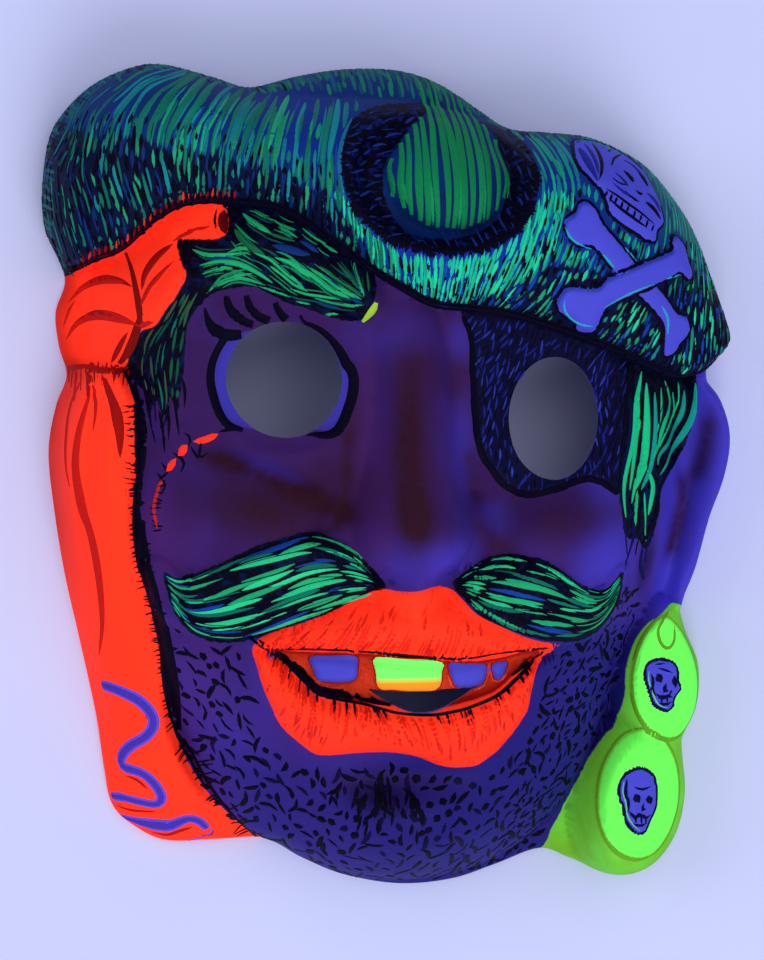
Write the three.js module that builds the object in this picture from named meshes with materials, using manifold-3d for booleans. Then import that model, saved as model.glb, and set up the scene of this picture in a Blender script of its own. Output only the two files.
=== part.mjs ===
// A moulded pirate mask: one thin shell that lies face up on its rim.
// Millimetres. X runs to the viewer's right, Y towards the hat, Z up from the rim to the nose.
import * as THREE from 'three';
import { mergeVertices } from 'three/addons/utils/BufferGeometryUtils.js';
import Module from 'manifold-3d';

// The sheet and the grid that is wrapped over it
const wallThickness = 0.8;
const gridCells = 46;
const rimCrowding = 0.16;
const sampleSpread = 1.7;
const rimCentre = [5, -6];
const boxCentre = [5.08, -5.35];

// How the shell rises from its rim
const rimRounding = 8;
const hatRimRounding = 18;
const earRimRounding = 5;
const webHeight = 7;

// The face: a dome over an egg-shaped plan, widest at the cheekbones
const faceCentre = [6, -30];
const faceDepth = 57;
const jawDrop = 95;
const browReach = 210;
const jawHalfWidth = 71;
const cheekboneFlare = 21;
const planPower = 2.3;
const domePower = 2.6;
const domeShoulder = 0.75;

// Openings cut through the sheet
const leftEye = { x: -28.4, y: 26.8, rx: 15.4, ry: 15.6 };
const rightEye = { x: 45.4, y: 15.9, rx: 13.2, ry: 16.7 };
const mouthSlit = { x: 8.8, y: -57.2, halfWidth: 15, topSag: 0.6, bottomSag: 6.4 };

// The hat's front, its dent and the crown that shows behind
const crownHeight = 34;
const hatEdgeLift = 5;
const hatLipRounding = 4.5;
const hatTopRounding = 7;
const hatRidgeAt = 0.35;
const dent = { x: 13.3, y: 80.5, rx: 26.5, ry: 20, turn: -6, depth: 9 };
const bulge = { x: 15.5, y: 82, rx: 17.5, ry: 15.5, turn: -6, height: 8 };

// The two hanging discs of the earring
const upperDisc = { x: 85, y: -61.5, rx: 10.5, ry: 17.5, turn: 0 };
const lowerDisc = { x: 78, y: -97, rx: 12.5, ry: 19, turn: -10 };
const discSlope = 11;
const discTopAt = 26;
const discTilt = 0.4;

// The rim, anticlockwise seen from the front, as points on a smooth closed curve
const earringRim = [
  [60, -118.6], [71, -122.6], [82.5, -119.5], [90, -111], [93, -99], [92.3, -88],
  [92.6, -81.5], [96.8, -71.5], [97, -59.8], [92.8, -49.5],
];
const earRim = [[91, -41], [94.5, -29], [98, -15], [102.3, -3], [103.8, 8.7], [101, 19], [97, 25]];
const hatRightRim = [
  [98, 29.5], [102.7, 35.3], [103.2, 40], [98, 56], [92.5, 68.5], [86, 78], [77, 87.3], [63, 94],
  [50, 95.6],
];
const crownRim = [[39, 96.8], [30.8, 101.8], [19, 109.3], [7.3, 113], [-7.7, 113.3], [-21.3, 111.2]];
const hatLeftRim = [
  [-35, 108], [-46, 110.8], [-60, 114.1], [-69, 113], [-79, 108.4], [-87, 101], [-91.5, 93],
  [-93.5, 80], [-92.9, 67.5], [-87.5, 54],
];
const bandanaRim = [
  [-90.2, 44], [-89.4, 34.5], [-87.3, 26], [-90.5, 17], [-92.7, 4], [-91.2, -13], [-88.5, -31],
  [-84.5, -50], [-80, -72], [-77.8, -88], [-75.5, -99], [-69, -105.6], [-60, -109.9], [-46, -110],
];
const chinRim = [
  [-31, -110], [-21, -115.5], [-8, -121.5], [8.3, -124.8], [24, -123.8], [37, -119.8], [50.5, -115.3],
];

// The hat's lower edge, its upper edge and the height of its ridge, from left to right
const hatLowerEdge = [
  [-95, 52], [-87.5, 54.2], [-79.4, 58.1], [-70.9, 61.6], [-62.3, 69.2], [-53.2, 73.7], [-40.6, 73.6],
  [-27.7, 71.2], [-15.2, 62.6], [-6.3, 56.3], [4.7, 49.4], [11.7, 46.2], [22, 45], [31.9, 43.6],
  [47.6, 39], [64.1, 32.9], [75.5, 28.1], [86.6, 25.4], [98.9, 31], [105, 36],
];
const hatUpperEdge = [
  [-95, 125], [-60, 124], [-45, 113], [-34.8, 107], [-19.5, 104], [-1.2, 103], [13.2, 101.3],
  [21, 99.7], [35.3, 97.5], [46.4, 99], [60, 106], [105, 108],
];
const hatRidgeHeight = [
  [-95, 34], [-75, 45], [-55, 50], [-35, 54], [-10, 62], [15, 66], [40, 63], [65, 55], [85, 43],
  [105, 28],
];

// The bandana's inner edge, its height along the side of the face, and the band from the knot
const bandanaInnerEdge = [
  [-31.1, -109.3], [-48.4, -92.7], [-57.3, -72.7], [-60.8, -47.7], [-67.7, -15.4], [-65.5, 12],
  [-69, 25], [-71, 29],
];
const bandanaHeight = [[-125, 8], [-110, 9], [-93, 13], [-73, 20], [-48, 29], [-15, 35], [25, 35]];
const bandanaShoulder = 26;
const knotTop = 28.5;
const knotBand = [
  [-95, 28.5], [-79, 28.5], [-71.2, 29], [-66.7, 39.2], [-59.7, 45.7], [-54.2, 55.2], [-56, 64.8],
  [-44.1, 65.3], [-44, 80], [-95, 80],
];
const knotBandLift = 3;

// Mouth corners and the lines of the open mouth, from left to right
const mouthUpperLine = [
  [-42, -47], [-35.7, -46.2], [-14.8, -47.6], [13.6, -49.7], [37.9, -48.7], [45.6, -49.4], [52, -52],
];
const mouthLowerLine = [
  [-42, -43], [-35.7, -46.2], [-24.3, -54.4], [-9.3, -61.4], [13.6, -63.6], [28.8, -60], [41.4, -51.5],
  [52, -46],
];
const mouthDepth = 7;

// Raised forms as stations along a line: x, y, half width, height
const noseLine = [
  [2, 48, 9, 2], [5, 36, 10, 6], [6, 20, 11.5, 10], [5.7, 4, 14, 15], [5, -11, 17, 21],
  [4.6, -19, 16, 21], [4.6, -25, 11, 13],
];
const leftBrowLine = [
  [-57, 47, 7, 2], [-49, 56, 10, 6], [-38, 62, 11, 7], [-27, 60, 11, 7], [-17, 55, 10, 7], [-8, 48, 7, 5],
];
const upperLipLine = [
  [-37, -45, 2, 3], [-20, -42, 6, 6], [-5, -39.5, 8.5, 8], [5, -38.5, 9, 7], [16, -40, 9, 8],
  [28, -44, 5, 6], [44, -48, 2, 3],
];
const lowerLipLine = [
  [-35, -50, 3, 3], [-28, -60, 6, 7], [-15, -67, 8, 8], [0, -68, 7.5, 8], [14, -70, 8.5, 8],
  [27, -65, 8, 7], [37, -55, 5, 4], [40, -50, 3, 2],
];
const leftMoustacheLine = [
  [-62, -27, 5, 3], [-57, -34, 8, 5], [-46, -34, 10, 5.5], [-33, -29, 11.5, 6], [-21, -25, 11.5, 6],
  [-11, -26, 8, 4.5], [-3, -28.5, 3, 2],
];
const rightMoustacheLine = [
  [15, -28, 3, 2], [22, -29.5, 7, 4.5], [33, -31.5, 11, 6], [44, -36, 11, 6], [55, -39, 8, 5],
  [63, -35, 6, 4], [66, -28, 3, 2],
];
const leftSideburnLine = [[-54, 52, 6, 2], [-60, 42, 7, 2.5], [-60, 28, 7, 2.5], [-60, 14, 4, 2]];
const rightTuftLine = [[78, 32, 8, 2], [79, 18, 8, 3.5], [78, 4, 6, 3], [74, -8, 4, 2.5], [71, -18, 2, 1]];
const earHelixLine = [
  [93, 26, 6, 4], [98.5, 17, 7, 6], [99.5, 7, 7, 6.5], [97.5, -5, 7, 6], [94, -17, 6.5, 6],
  [91, -29, 6, 5], [88.5, -40, 5, 3],
];
const bandanaFoldLines = [
  [[-72, 24, 3, 2], [-76, 5, 4, 1.6], [-78, -20, 5, 1.2], [-74, -45, 5, 0.8]],
  [[-82, 24, 3, 2], [-86, 5, 4, 1.6], [-86, -20, 4, 1.2]],
];
const knotPinchLine = [[-92, 27.5, 3.5, 2.5], [-80, 28, 3, 2.5], [-70, 28.5, 3, 2.5]];
const softProfile = 1.5;
const fullProfile = 0.8;

// Broad swellings and hollows of the face: x, y, half sizes, turn and height
const faceMounds = [
  { x: -29, y: 28, rx: 30, ry: 27, turn: 0, height: -7 },
  { x: 46, y: 17, rx: 28, ry: 30, turn: 0, height: -6 },
  { x: -38, y: -11, rx: 32, ry: 22, turn: -8, height: 9 },
  { x: 50, y: -18, rx: 26, ry: 20, turn: 10, height: 8 },
  { x: 31, y: -2, rx: 12, ry: 16, turn: 20, height: -4 },
  { x: 18.5, y: -14.5, rx: 12, ry: 13, turn: 0, height: 8 },
  { x: -9.5, y: -16, rx: 10, ry: 12, turn: 0, height: 6 },
  { x: 4, y: -45, rx: 52, ry: 30, turn: 0, height: 5 },
  { x: 5, y: -84, rx: 24, ry: 9, turn: 0, height: -5 },
  { x: 6, y: -101, rx: 34, ry: 22, turn: 0, height: 10 },
];
const patchOutline = [
  [22, 52], [22.2, 36], [22.4, 27.4], [23.9, 11.6], [27.7, 2.5], [33.8, -3.5], [38.3, -5],
  [46.8, -3.1], [54.7, -0.9], [60.7, -2.8], [64.7, -5.2], [66.8, 7.3], [68.7, 30.3], [68, 45],
];
const patchLift = 1.4;

// Plain helpers
const clamp = (value, low, high) => Math.min(Math.max(value, low), high);
const mix = (a, b, t) => a + (b - a) * t;

function smoothStep(from, to, value) {
  const t = clamp((value - from) / (to - from), 0, 1);
  return t * t * (3 - 2 * t);
}

// A quarter circle that climbs from 0 at the edge to 1 at the given width
function roundedEdge(distance, width) {
  const t = clamp(distance / width, 0, 1);
  return Math.sqrt(Math.max(1 - (1 - t) ** 2, 0));
}

// Where a point lies in a turned oval: 0 at its middle, 1 on its edge
function ovalRadius(x, y, oval) {
  const turn = THREE.MathUtils.degToRad(oval.turn);
  const across = ((x - oval.x) * Math.cos(turn) + (y - oval.y) * Math.sin(turn)) / oval.rx;
  const up = (-(x - oval.x) * Math.sin(turn) + (y - oval.y) * Math.cos(turn)) / oval.ry;
  return Math.hypot(across, up);
}

function mound(x, y, oval) {
  const r = Math.min(ovalRadius(x, y, oval), 1);
  return oval.height * (1 - r * r) ** 2;
}

// A smooth curve through stations of any length, as a list of samples
function smoothLine(stations, steps = 6) {
  const before = stations[0].map((value, k) => 2 * value - stations[1][k]);
  const last = stations.length - 1;
  const after = stations[last].map((value, k) => 2 * value - stations[last - 1][k]);
  const all = [before, ...stations, after];
  const samples = [];
  for (let i = 1; i <= last; i += 1) {
    for (let j = 0; j < steps; j += 1) {
      samples.push(catmullRom(all[i - 1], all[i], all[i + 1], all[i + 2], j / steps));
    }
  }
  samples.push(stations[last]);
  return samples;
}

function catmullRom(a, b, c, d, t) {
  return b.map((value, k) => 0.5 * (2 * value + (c[k] - a[k]) * t
    + (2 * a[k] - 5 * value + 4 * c[k] - d[k]) * t * t
    + (3 * value - a[k] - 3 * c[k] + d[k]) * t ** 3));
}

// The value that a smooth line gives at one coordinate
function readLine(line, at, input = 0, output = 1) {
  if (at <= line[0][input]) {
    return line[0][output];
  }
  for (let i = 1; i < line.length; i += 1) {
    if (at <= line[i][input]) {
      const t = (at - line[i - 1][input]) / (line[i][input] - line[i - 1][input]);
      return mix(line[i - 1][output], line[i][output], t);
    }
  }
  return line[line.length - 1][output];
}

// A raised form along a line of stations, full or soft in section
function ridge(x, y, line, power, shoulder) {
  let nearest = Infinity;
  let halfWidth = 1;
  let height = 0;
  for (let i = 1; i < line.length; i += 1) {
    const [ax, ay, aw, ah] = line[i - 1];
    const [bx, by, bw, bh] = line[i];
    const length = (bx - ax) ** 2 + (by - ay) ** 2;
    const t = clamp(((x - ax) * (bx - ax) + (y - ay) * (by - ay)) / length, 0, 1);
    const distance = Math.hypot(x - mix(ax, bx, t), y - mix(ay, by, t));
    if (distance < nearest) {
      nearest = distance;
      halfWidth = mix(aw, bw, t);
      height = mix(ah, bh, t);
    }
  }
  const r = Math.min(nearest / halfWidth, 1);
  return height * (1 - r ** power) ** shoulder;
}

// Distance to a closed outline, positive inside it
function insideDistance(x, y, outline) {
  let nearest = Infinity;
  let inside = false;
  for (let i = 0; i < outline.length; i += 1) {
    const [ax, ay] = outline[i];
    const [bx, by] = outline[(i + 1) % outline.length];
    const length = (bx - ax) ** 2 + (by - ay) ** 2;
    const t = clamp(((x - ax) * (bx - ax) + (y - ay) * (by - ay)) / length, 0, 1);
    nearest = Math.min(nearest, Math.hypot(x - mix(ax, bx, t), y - mix(ay, by, t)));
    if ((ay > y) !== (by > y) && x < ax + ((y - ay) / (by - ay)) * (bx - ax)) {
      inside = !inside;
    }
  }
  return inside ? nearest : -nearest;
}

// The rim as a radius for each direction from the middle
const rimPoints = [
  ...earringRim, ...earRim, ...hatRightRim, ...crownRim, ...hatLeftRim, ...bandanaRim, ...chinRim,
];
const rimCurve = new THREE.CatmullRomCurve3(
  rimPoints.map(([x, y]) => new THREE.Vector3(x, y, 0)), true, 'catmullrom', 0.5);
const rimPolar = rimCurve.getPoints(rimPoints.length * 10).slice(0, -1).map((point) => {
  const across = point.x - rimCentre[0];
  const up = point.y - rimCentre[1];
  return [Math.atan2(up, across), Math.hypot(across, up)];
}).sort((a, b) => a[0] - b[0]);
const rimFirst = rimPolar[0];
const rimLast = rimPolar[rimPolar.length - 1];
const rimTurn = [
  [rimLast[0] - 2 * Math.PI, rimLast[1]], ...rimPolar, [rimFirst[0] + 2 * Math.PI, rimFirst[1]],
];

const rimReach = (angle) => readLine(rimTurn, angle);

function rimDistance(x, y) {
  const across = x - rimCentre[0];
  const up = y - rimCentre[1];
  return rimReach(Math.atan2(up, across)) - Math.hypot(across, up);
}

// Lines sampled once
const lines = {
  nose: smoothLine(noseLine),
  leftBrow: smoothLine(leftBrowLine),
  upperLip: smoothLine(upperLipLine),
  lowerLip: smoothLine(lowerLipLine),
  leftMoustache: smoothLine(leftMoustacheLine),
  rightMoustache: smoothLine(rightMoustacheLine),
  leftSideburn: smoothLine(leftSideburnLine),
  rightTuft: smoothLine(rightTuftLine),
  earHelix: smoothLine(earHelixLine),
  knotPinch: smoothLine(knotPinchLine),
  hatLower: smoothLine(hatLowerEdge),
  hatUpper: smoothLine(hatUpperEdge),
  hatRidge: smoothLine(hatRidgeHeight),
  bandanaInner: smoothLine(bandanaInnerEdge),
  bandanaTop: smoothLine(bandanaHeight),
  mouthUpper: smoothLine(mouthUpperLine),
  mouthLower: smoothLine(mouthLowerLine),
};
const bandanaFolds = bandanaFoldLines.map((fold) => smoothLine(fold));

function faceDome(x, y) {
  const flare = x < faceCentre[0] ? smoothStep(-80, -30, y) : smoothStep(-65, -10, y);
  const halfWidth = jawHalfWidth + cheekboneFlare * flare;
  const halfHeight = y < faceCentre[1] ? jawDrop : browReach;
  const across = Math.abs((x - faceCentre[0]) / halfWidth) ** planPower;
  const along = Math.abs((y - faceCentre[1]) / halfHeight) ** planPower;
  const fraction = Math.min((across + along) ** (1 / planPower), 1);
  return faceDepth * (1 - fraction ** domePower) ** domeShoulder;
}

function mouthHollow(x, y) {
  const upper = readLine(lines.mouthUpper, x);
  const lower = readLine(lines.mouthLower, x);
  return -mouthDepth * smoothStep(-1.5, 3, Math.min(upper - y, y - lower));
}

function faceRelief(x, y) {
  let relief = 0;
  for (const form of faceMounds) {
    relief += mound(x, y, form);
  }
  relief += ridge(x, y, lines.nose, 2.6, softProfile);
  relief += ridge(x, y, lines.leftBrow, 2, softProfile);
  relief += ridge(x, y, lines.upperLip, 2, softProfile);
  relief += ridge(x, y, lines.lowerLip, 2, softProfile);
  relief += ridge(x, y, lines.leftMoustache, 3.5, fullProfile);
  relief += ridge(x, y, lines.rightMoustache, 3.5, fullProfile);
  relief += ridge(x, y, lines.leftSideburn, 3, fullProfile);
  relief += ridge(x, y, lines.rightTuft, 3, fullProfile);
  relief += patchLift * smoothStep(-0.5, 1.5, insideDistance(x, y, patchOutline));
  return relief + mouthHollow(x, y);
}

// The ear stands as a low plate with a raised helix
function withEar(x, y, face) {
  const zone = smoothStep(80, 88, x) * smoothStep(-52, -40, y) * smoothStep(36, 26, y);
  const ear = 20 + ridge(x, y, lines.earHelix, 2, softProfile);
  return mix(face, ear, zone);
}

// The bandana hangs down the left side, gathered under the knot
function withBandana(x, y, face) {
  const edge = readLine(lines.bandanaInner, y, 1, 0);
  const shoulder = roundedEdge(rimDistance(x, y), bandanaShoulder);
  let cloth = readLine(lines.bandanaTop, y) * shoulder;
  for (const fold of bandanaFolds) {
    cloth += ridge(x, y, fold, 2, softProfile);
  }
  const hanging = smoothStep(-1, 3.5, edge - x) * smoothStep(knotTop + 3, knotTop - 1, y);
  const band = smoothStep(-1.5, 3, insideDistance(x, y, knotBand)) * smoothStep(knotTop - 2, knotTop + 3, y);
  const pinch = ridge(x, y, lines.knotPinch, 2, softProfile);
  return mix(face, cloth, hanging) + knotBandLift * band - pinch;
}

// The hat's turned-up front, with the crown behind it
function withHat(x, y, face) {
  const lower = readLine(lines.hatLower, x);
  const upper = readLine(lines.hatUpper, x);
  if (y <= lower) {
    return face;
  }
  const rise = clamp((y - lower) / (upper - lower), 0, 1);
  const fall = rise < hatRidgeAt
    ? 0.1 * ((hatRidgeAt - rise) / hatRidgeAt) ** 2
    : 0.36 * ((rise - hatRidgeAt) / (1 - hatRidgeAt)) ** 2;
  const front = Math.max(readLine(lines.hatRidge, x) * (1 - fall), face + hatEdgeLift * (1 - rise));
  const behind = mix(face, crownHeight, smoothStep(0.3, 0.7, rise));
  const cover = roundedEdge(y - lower, hatLipRounding) * roundedEdge(upper - y, hatTopRounding);
  let surface = mix(behind, front, cover);
  const openTop = mix(1, 0.45, smoothStep(88, 100, y));
  surface -= dent.depth * smoothStep(1, 0.72, ovalRadius(x, y, dent)) * openTop;
  const bulgeRadius = Math.min(ovalRadius(x, y, bulge), 1);
  return surface + bulge.height * (1 - bulgeRadius ** 2.4) ** 0.7;
}

// Two discs, flat on top and sloped at their sides
function earringSurface(x, y) {
  const top = discTopAt - discTilt * (x - upperDisc.x + 10);
  let cover = 0;
  for (const disc of [upperDisc, lowerDisc]) {
    const outside = (ovalRadius(x, y, disc) - 1) * Math.min(disc.rx, disc.ry);
    cover = Math.max(cover, smoothStep(discSlope, 0, outside));
  }
  return top * cover;
}

function surfaceHeight(x, y) {
  let height = faceDome(x, y) + faceRelief(x, y);
  height = withEar(x, y, height);
  height = withBandana(x, y, height);
  height = withHat(x, y, height);
  height = Math.max(height, earringSurface(x, y), webHeight);
  const hatPart = smoothStep(35, 60, y);
  const earPart = smoothStep(85, 92, x) * smoothStep(-50, -38, y) * smoothStep(32, 26, y);
  const rounding = mix(mix(rimRounding, hatRimRounding, hatPart), earRimRounding, earPart);
  return height * roundedEdge(rimDistance(x, y), rounding);
}

// The height at a grid corner, averaged over its surroundings so that steps stay even
function cornerHeight(x, y) {
  const spread = Math.min(sampleSpread, rimDistance(x, y) / 3);
  let sum = 0;
  for (const right of [-spread, 0, spread]) {
    for (const up of [-spread, 0, spread]) {
      sum += surfaceHeight(x + right, y + up);
    }
  }
  return sum / 9;
}

// A square grid wrapped onto the rim's plan: each cell corner gets a direction and a reach
function gridPlace(column, row) {
  const a = (2 * column) / gridCells - 1;
  const b = (2 * row) / gridCells - 1;
  const square = Math.max(Math.abs(a), Math.abs(b));
  if (square === 0) {
    return { angle: 0, fraction: 0 };
  }
  const quarter = Math.PI / 4;
  let angle = Math.abs(a) > Math.abs(b) ? quarter * (b / a) : 2 * quarter - quarter * (a / b);
  if ((Math.abs(a) > Math.abs(b) ? a : b) < 0) {
    angle += Math.PI;
  }
  angle = Math.atan2(Math.sin(angle), Math.cos(angle));
  return { angle, fraction: Math.min(square + rimCrowding * Math.sin(Math.PI * square), 1) };
}

function rimPoint(angle) {
  const reach = rimReach(Math.atan2(Math.sin(angle), Math.cos(angle)));
  return new THREE.Vector3(rimCentre[0] + reach * Math.cos(angle), rimCentre[1] + reach * Math.sin(angle), 0);
}

function rimOutward(angle) {
  const step = 0.01;
  const tangent = rimPoint(angle + step).sub(rimPoint(angle - step)).normalize();
  return new THREE.Vector3(tangent.y, -tangent.x, 0);
}

// Two triangles for each cell, split along the diagonal that points to the middle
function gridTriangles(flip, offset) {
  const side = gridCells + 1;
  const triangles = [];
  for (let row = 0; row < gridCells; row += 1) {
    for (let column = 0; column < gridCells; column += 1) {
      const sw = offset + row * side + column;
      const se = sw + 1;
      const nw = sw + side;
      const ne = nw + 1;
      const rising = (row < gridCells / 2) === (column < gridCells / 2);
      const pair = rising ? [[sw, se, ne], [sw, ne, nw]] : [[sw, se, nw], [se, ne, nw]];
      for (const [p, q, r] of pair) {
        triangles.push(...(flip ? [p, r, q] : [p, q, r]));
      }
    }
  }
  return triangles;
}

// The rim's grid corners in order, anticlockwise
function rimOrder() {
  const side = gridCells + 1;
  const order = [];
  for (let k = 0; k < gridCells; k += 1) {
    order.push(k);
  }
  for (let k = 0; k < gridCells; k += 1) {
    order.push(k * side + gridCells);
  }
  for (let k = gridCells; k > 0; k -= 1) {
    order.push(gridCells * side + k);
  }
  for (let k = gridCells; k > 0; k -= 1) {
    order.push(k * side);
  }
  return order;
}

// The closed sheet: outer skin, inner skin one wall thickness behind it, and the flat rim
function sheetGeometry() {
  const side = gridCells + 1;
  const outer = [];
  const angles = [];
  for (let row = 0; row < side; row += 1) {
    for (let column = 0; column < side; column += 1) {
      const { angle, fraction } = gridPlace(column, row);
      const reach = fraction * rimReach(angle);
      const x = rimCentre[0] + reach * Math.cos(angle);
      const y = rimCentre[1] + reach * Math.sin(angle);
      outer.push(x, y, fraction === 1 ? 0 : cornerHeight(x, y));
      angles.push(angle);
    }
  }
  const skin = new THREE.BufferGeometry();
  skin.setAttribute('position', new THREE.Float32BufferAttribute(outer, 3));
  skin.setIndex(gridTriangles(false, 0));
  skin.computeVertexNormals();
  const normals = skin.getAttribute('normal');
  const order = rimOrder();
  for (const corner of order) {
    const outward = rimOutward(angles[corner]);
    normals.setXYZ(corner, outward.x, outward.y, 0);
  }
  const inner = [];
  for (let corner = 0; corner < side * side; corner += 1) {
    inner.push(
      outer[3 * corner] - wallThickness * normals.getX(corner),
      outer[3 * corner + 1] - wallThickness * normals.getY(corner),
      outer[3 * corner + 2] - wallThickness * normals.getZ(corner),
    );
  }
  const behind = side * side;
  const triangles = [...gridTriangles(false, 0), ...gridTriangles(true, behind)];
  order.forEach((corner, k) => {
    const next = order[(k + 1) % order.length];
    triangles.push(corner, corner + behind, next, next, corner + behind, next + behind);
  });
  const sheet = new THREE.BufferGeometry();
  sheet.setAttribute('position', new THREE.Float32BufferAttribute([...outer, ...inner], 3));
  sheet.setIndex(triangles);
  return sheet;
}

function punch(shape) {
  const reach = faceDepth * 2;
  const geometry = new THREE.ExtrudeGeometry(shape, { depth: reach, bevelEnabled: false, curveSegments: 20 });
  geometry.translate(0, 0, -1);
  return geometry;
}

function eyeShape({ x, y, rx, ry }) {
  return new THREE.Shape().absellipse(x, y, rx, ry, 0, 2 * Math.PI, false);
}

// A narrow smile: pointed ends, an almost level top and a bottom that hangs lower
function slitShape({ x, y, halfWidth, topSag, bottomSag }) {
  const shape = new THREE.Shape();
  shape.moveTo(x - halfWidth, y);
  shape.quadraticCurveTo(x, y - 2 * bottomSag, x + halfWidth, y);
  shape.quadraticCurveTo(x, y - 2 * topSag, x - halfWidth, y);
  return shape;
}

// Solid for joining and cutting, from a closed geometry
function toSolid(wasm, geometry) {
  const bare = geometry.clone();
  bare.deleteAttribute('normal');
  bare.deleteAttribute('uv');
  const merged = mergeVertices(bare, 1e-4);
  return new wasm.Manifold(new wasm.Mesh({
    numProp: 3,
    vertProperties: new Float32Array(merged.getAttribute('position').array),
    triVerts: new Uint32Array(merged.getIndex().array),
  }));
}

function toGeometry(solid) {
  const mesh = solid.getMesh();
  const geometry = new THREE.BufferGeometry();
  geometry.setAttribute('position', new THREE.BufferAttribute(new Float32Array(mesh.vertProperties), 3));
  geometry.setIndex(new THREE.BufferAttribute(new Uint32Array(mesh.triVerts), 1));
  geometry.computeVertexNormals();
  return geometry;
}

const wasm = await Module();
wasm.setup();

let shell = toSolid(wasm, sheetGeometry());
for (const shape of [eyeShape(leftEye), eyeShape(rightEye), slitShape(mouthSlit)]) {
  shell = shell.subtract(toSolid(wasm, punch(shape)));
}

const paintedPlastic = new THREE.MeshStandardMaterial({ color: 0x46206e, roughness: 0.45, metalness: 0 });
const mask = new THREE.Mesh(toGeometry(shell), paintedPlastic);
mask.name = 'mask_shell';
mask.position.set(-boxCentre[0], -boxCentre[1], 0);

const group = new THREE.Group();
group.add(mask);

export default group;
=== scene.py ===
import math

import bpy
import numpy as np
from mathutils import Matrix, Vector
from mathutils.bvhtree import BVHTree


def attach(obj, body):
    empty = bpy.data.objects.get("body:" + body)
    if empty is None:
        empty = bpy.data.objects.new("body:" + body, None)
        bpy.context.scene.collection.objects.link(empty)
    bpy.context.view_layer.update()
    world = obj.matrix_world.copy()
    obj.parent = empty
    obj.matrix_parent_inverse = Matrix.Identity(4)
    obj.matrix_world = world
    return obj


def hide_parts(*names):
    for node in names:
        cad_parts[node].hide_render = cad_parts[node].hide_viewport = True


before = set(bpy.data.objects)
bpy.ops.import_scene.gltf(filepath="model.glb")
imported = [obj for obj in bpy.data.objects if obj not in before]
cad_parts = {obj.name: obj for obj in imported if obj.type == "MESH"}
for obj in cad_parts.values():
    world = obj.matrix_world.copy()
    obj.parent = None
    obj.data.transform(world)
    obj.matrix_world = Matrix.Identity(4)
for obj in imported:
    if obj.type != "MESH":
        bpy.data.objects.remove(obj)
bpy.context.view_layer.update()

bl_info = {
    "name": "Pirate Mask",
    "version": (1, 0, 0),
    "blender": (4, 5, 0),
    "location": "3D View > Sidebar > Mask",
    "description": "Thin moulded pirate mask with brushed fluorescent paint, lying face up",
    "category": "Object",
}


def trace(text):
    """Places along a line, written x,y with spaces between them; each may hold further numbers."""
    return [tuple(float(n) for n in word.split(",")) for word in text.split()]


def drawing(text):
    """Lines of a drawing: each is written as its numbers and then its places."""
    rows = []
    for word in text.split():
        if "," in word:
            rows[-1][-1] += trace(word)
        else:
            if not rows or rows[-1][-1]:
                rows.append([[]])
            rows[-1].insert(-1, float(word))
    return rows


# ---- places on the mask, in millimetres as it was drawn ----

# distances to an outline are worked out this far from it
FAR = 9.0
DRAWN_CENTRE = np.array([5.08, -5.35])
RIM_CENTRE = (5.0, -6.0)

RIM = trace("""
-87.5,54 -92.9,67.5 -93.5,80 -91.5,93 -87,101 -79,108.4 -69,113 -60,114.1 -46,110.8 -35,108
-21.3,111.2 -7.7,113.3 7.3,113 19,109.3 30.8,101.8 39,96.8 50,95.6 63,94 77,87.3 86,78 92.5,68.5 98,56
103.2,40 102.7,35.3 98,29.5 97,25 101,19 103.8,8.7 102.3,-3 98,-15 94.5,-29 91,-41 92.8,-49.5 97,-59.8
96.8,-71.5 92.6,-81.5 92.3,-88 93,-99 90,-111 82.5,-119.5 71,-122.6 60,-118.6 50.5,-115.3 37,-119.8
24,-123.8 8.3,-124.8 -8,-121.5 -21,-115.5 -31,-110 -46,-110 -60,-109.9 -69,-105.6 -75.5,-99 -77.8,-88
-80,-72 -84.5,-50 -88.5,-31 -91.2,-13 -92.7,4 -90.5,17 -87.3,26 -89.4,34.5 -90.2,44
""")
HAT_LOWER_EDGE = trace("""
-95,52 -87.5,54.2 -79.4,58.1 -70.9,61.6 -62.3,69.2 -53.2,73.7 -40.6,73.6 -27.7,71.2 -15.2,62.6
-6.3,56.3 4.7,49.4 11.7,46.2 22,45 31.9,43.6 47.6,39 64.1,32.9 75.5,28.1 86.6,25.4 98.9,31 105,36
""")
HAT_UPPER_EDGE = trace("""
-95,125 -60,124 -45,113 -34.8,107 -19.5,104 -1.2,103 13.2,101.3 21,99.7 35.3,97.5 46.4,99 60,106
105,108
""")
HAT_RIDGE = trace("-95,34 -75,45 -55,50 -35,54 -10,62 15,66 40,63 65,55 85,43 105,28")
CLOTH_EDGE = trace("""
-109.3,-31.1 -92.7,-48.4 -72.7,-57.3 -47.7,-60.8 -15.4,-67.7 12,-65.5 25,-69 29,-71
""")
CLOTH_HEIGHT = trace("-125,8 -110,9 -93,13 -73,20 -48,29 -15,35 25,35")
KNOT = trace("""
-95,28.5 -79,28.5 -71.2,29 -66.7,39.2 -59.7,45.7 -54.2,55.2 -56,64.8 -44.1,65.3 -44,80 -95,80
""")
KNOT_PAINT = trace("""
-97,27.5 -87.5,26.7 -79.1,28.2 -71.2,28.9 -69.3,34.2 -66.7,39.2 -62.4,41.2 -59.7,45.7 -57.3,48.7
-54.2,55.2 -55.9,58.1 -55.9,60.8 -57.1,64.9 -54,64.6 -44.1,65.3 -44.6,74 -60,74 -80,62 -97,56
""")
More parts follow.
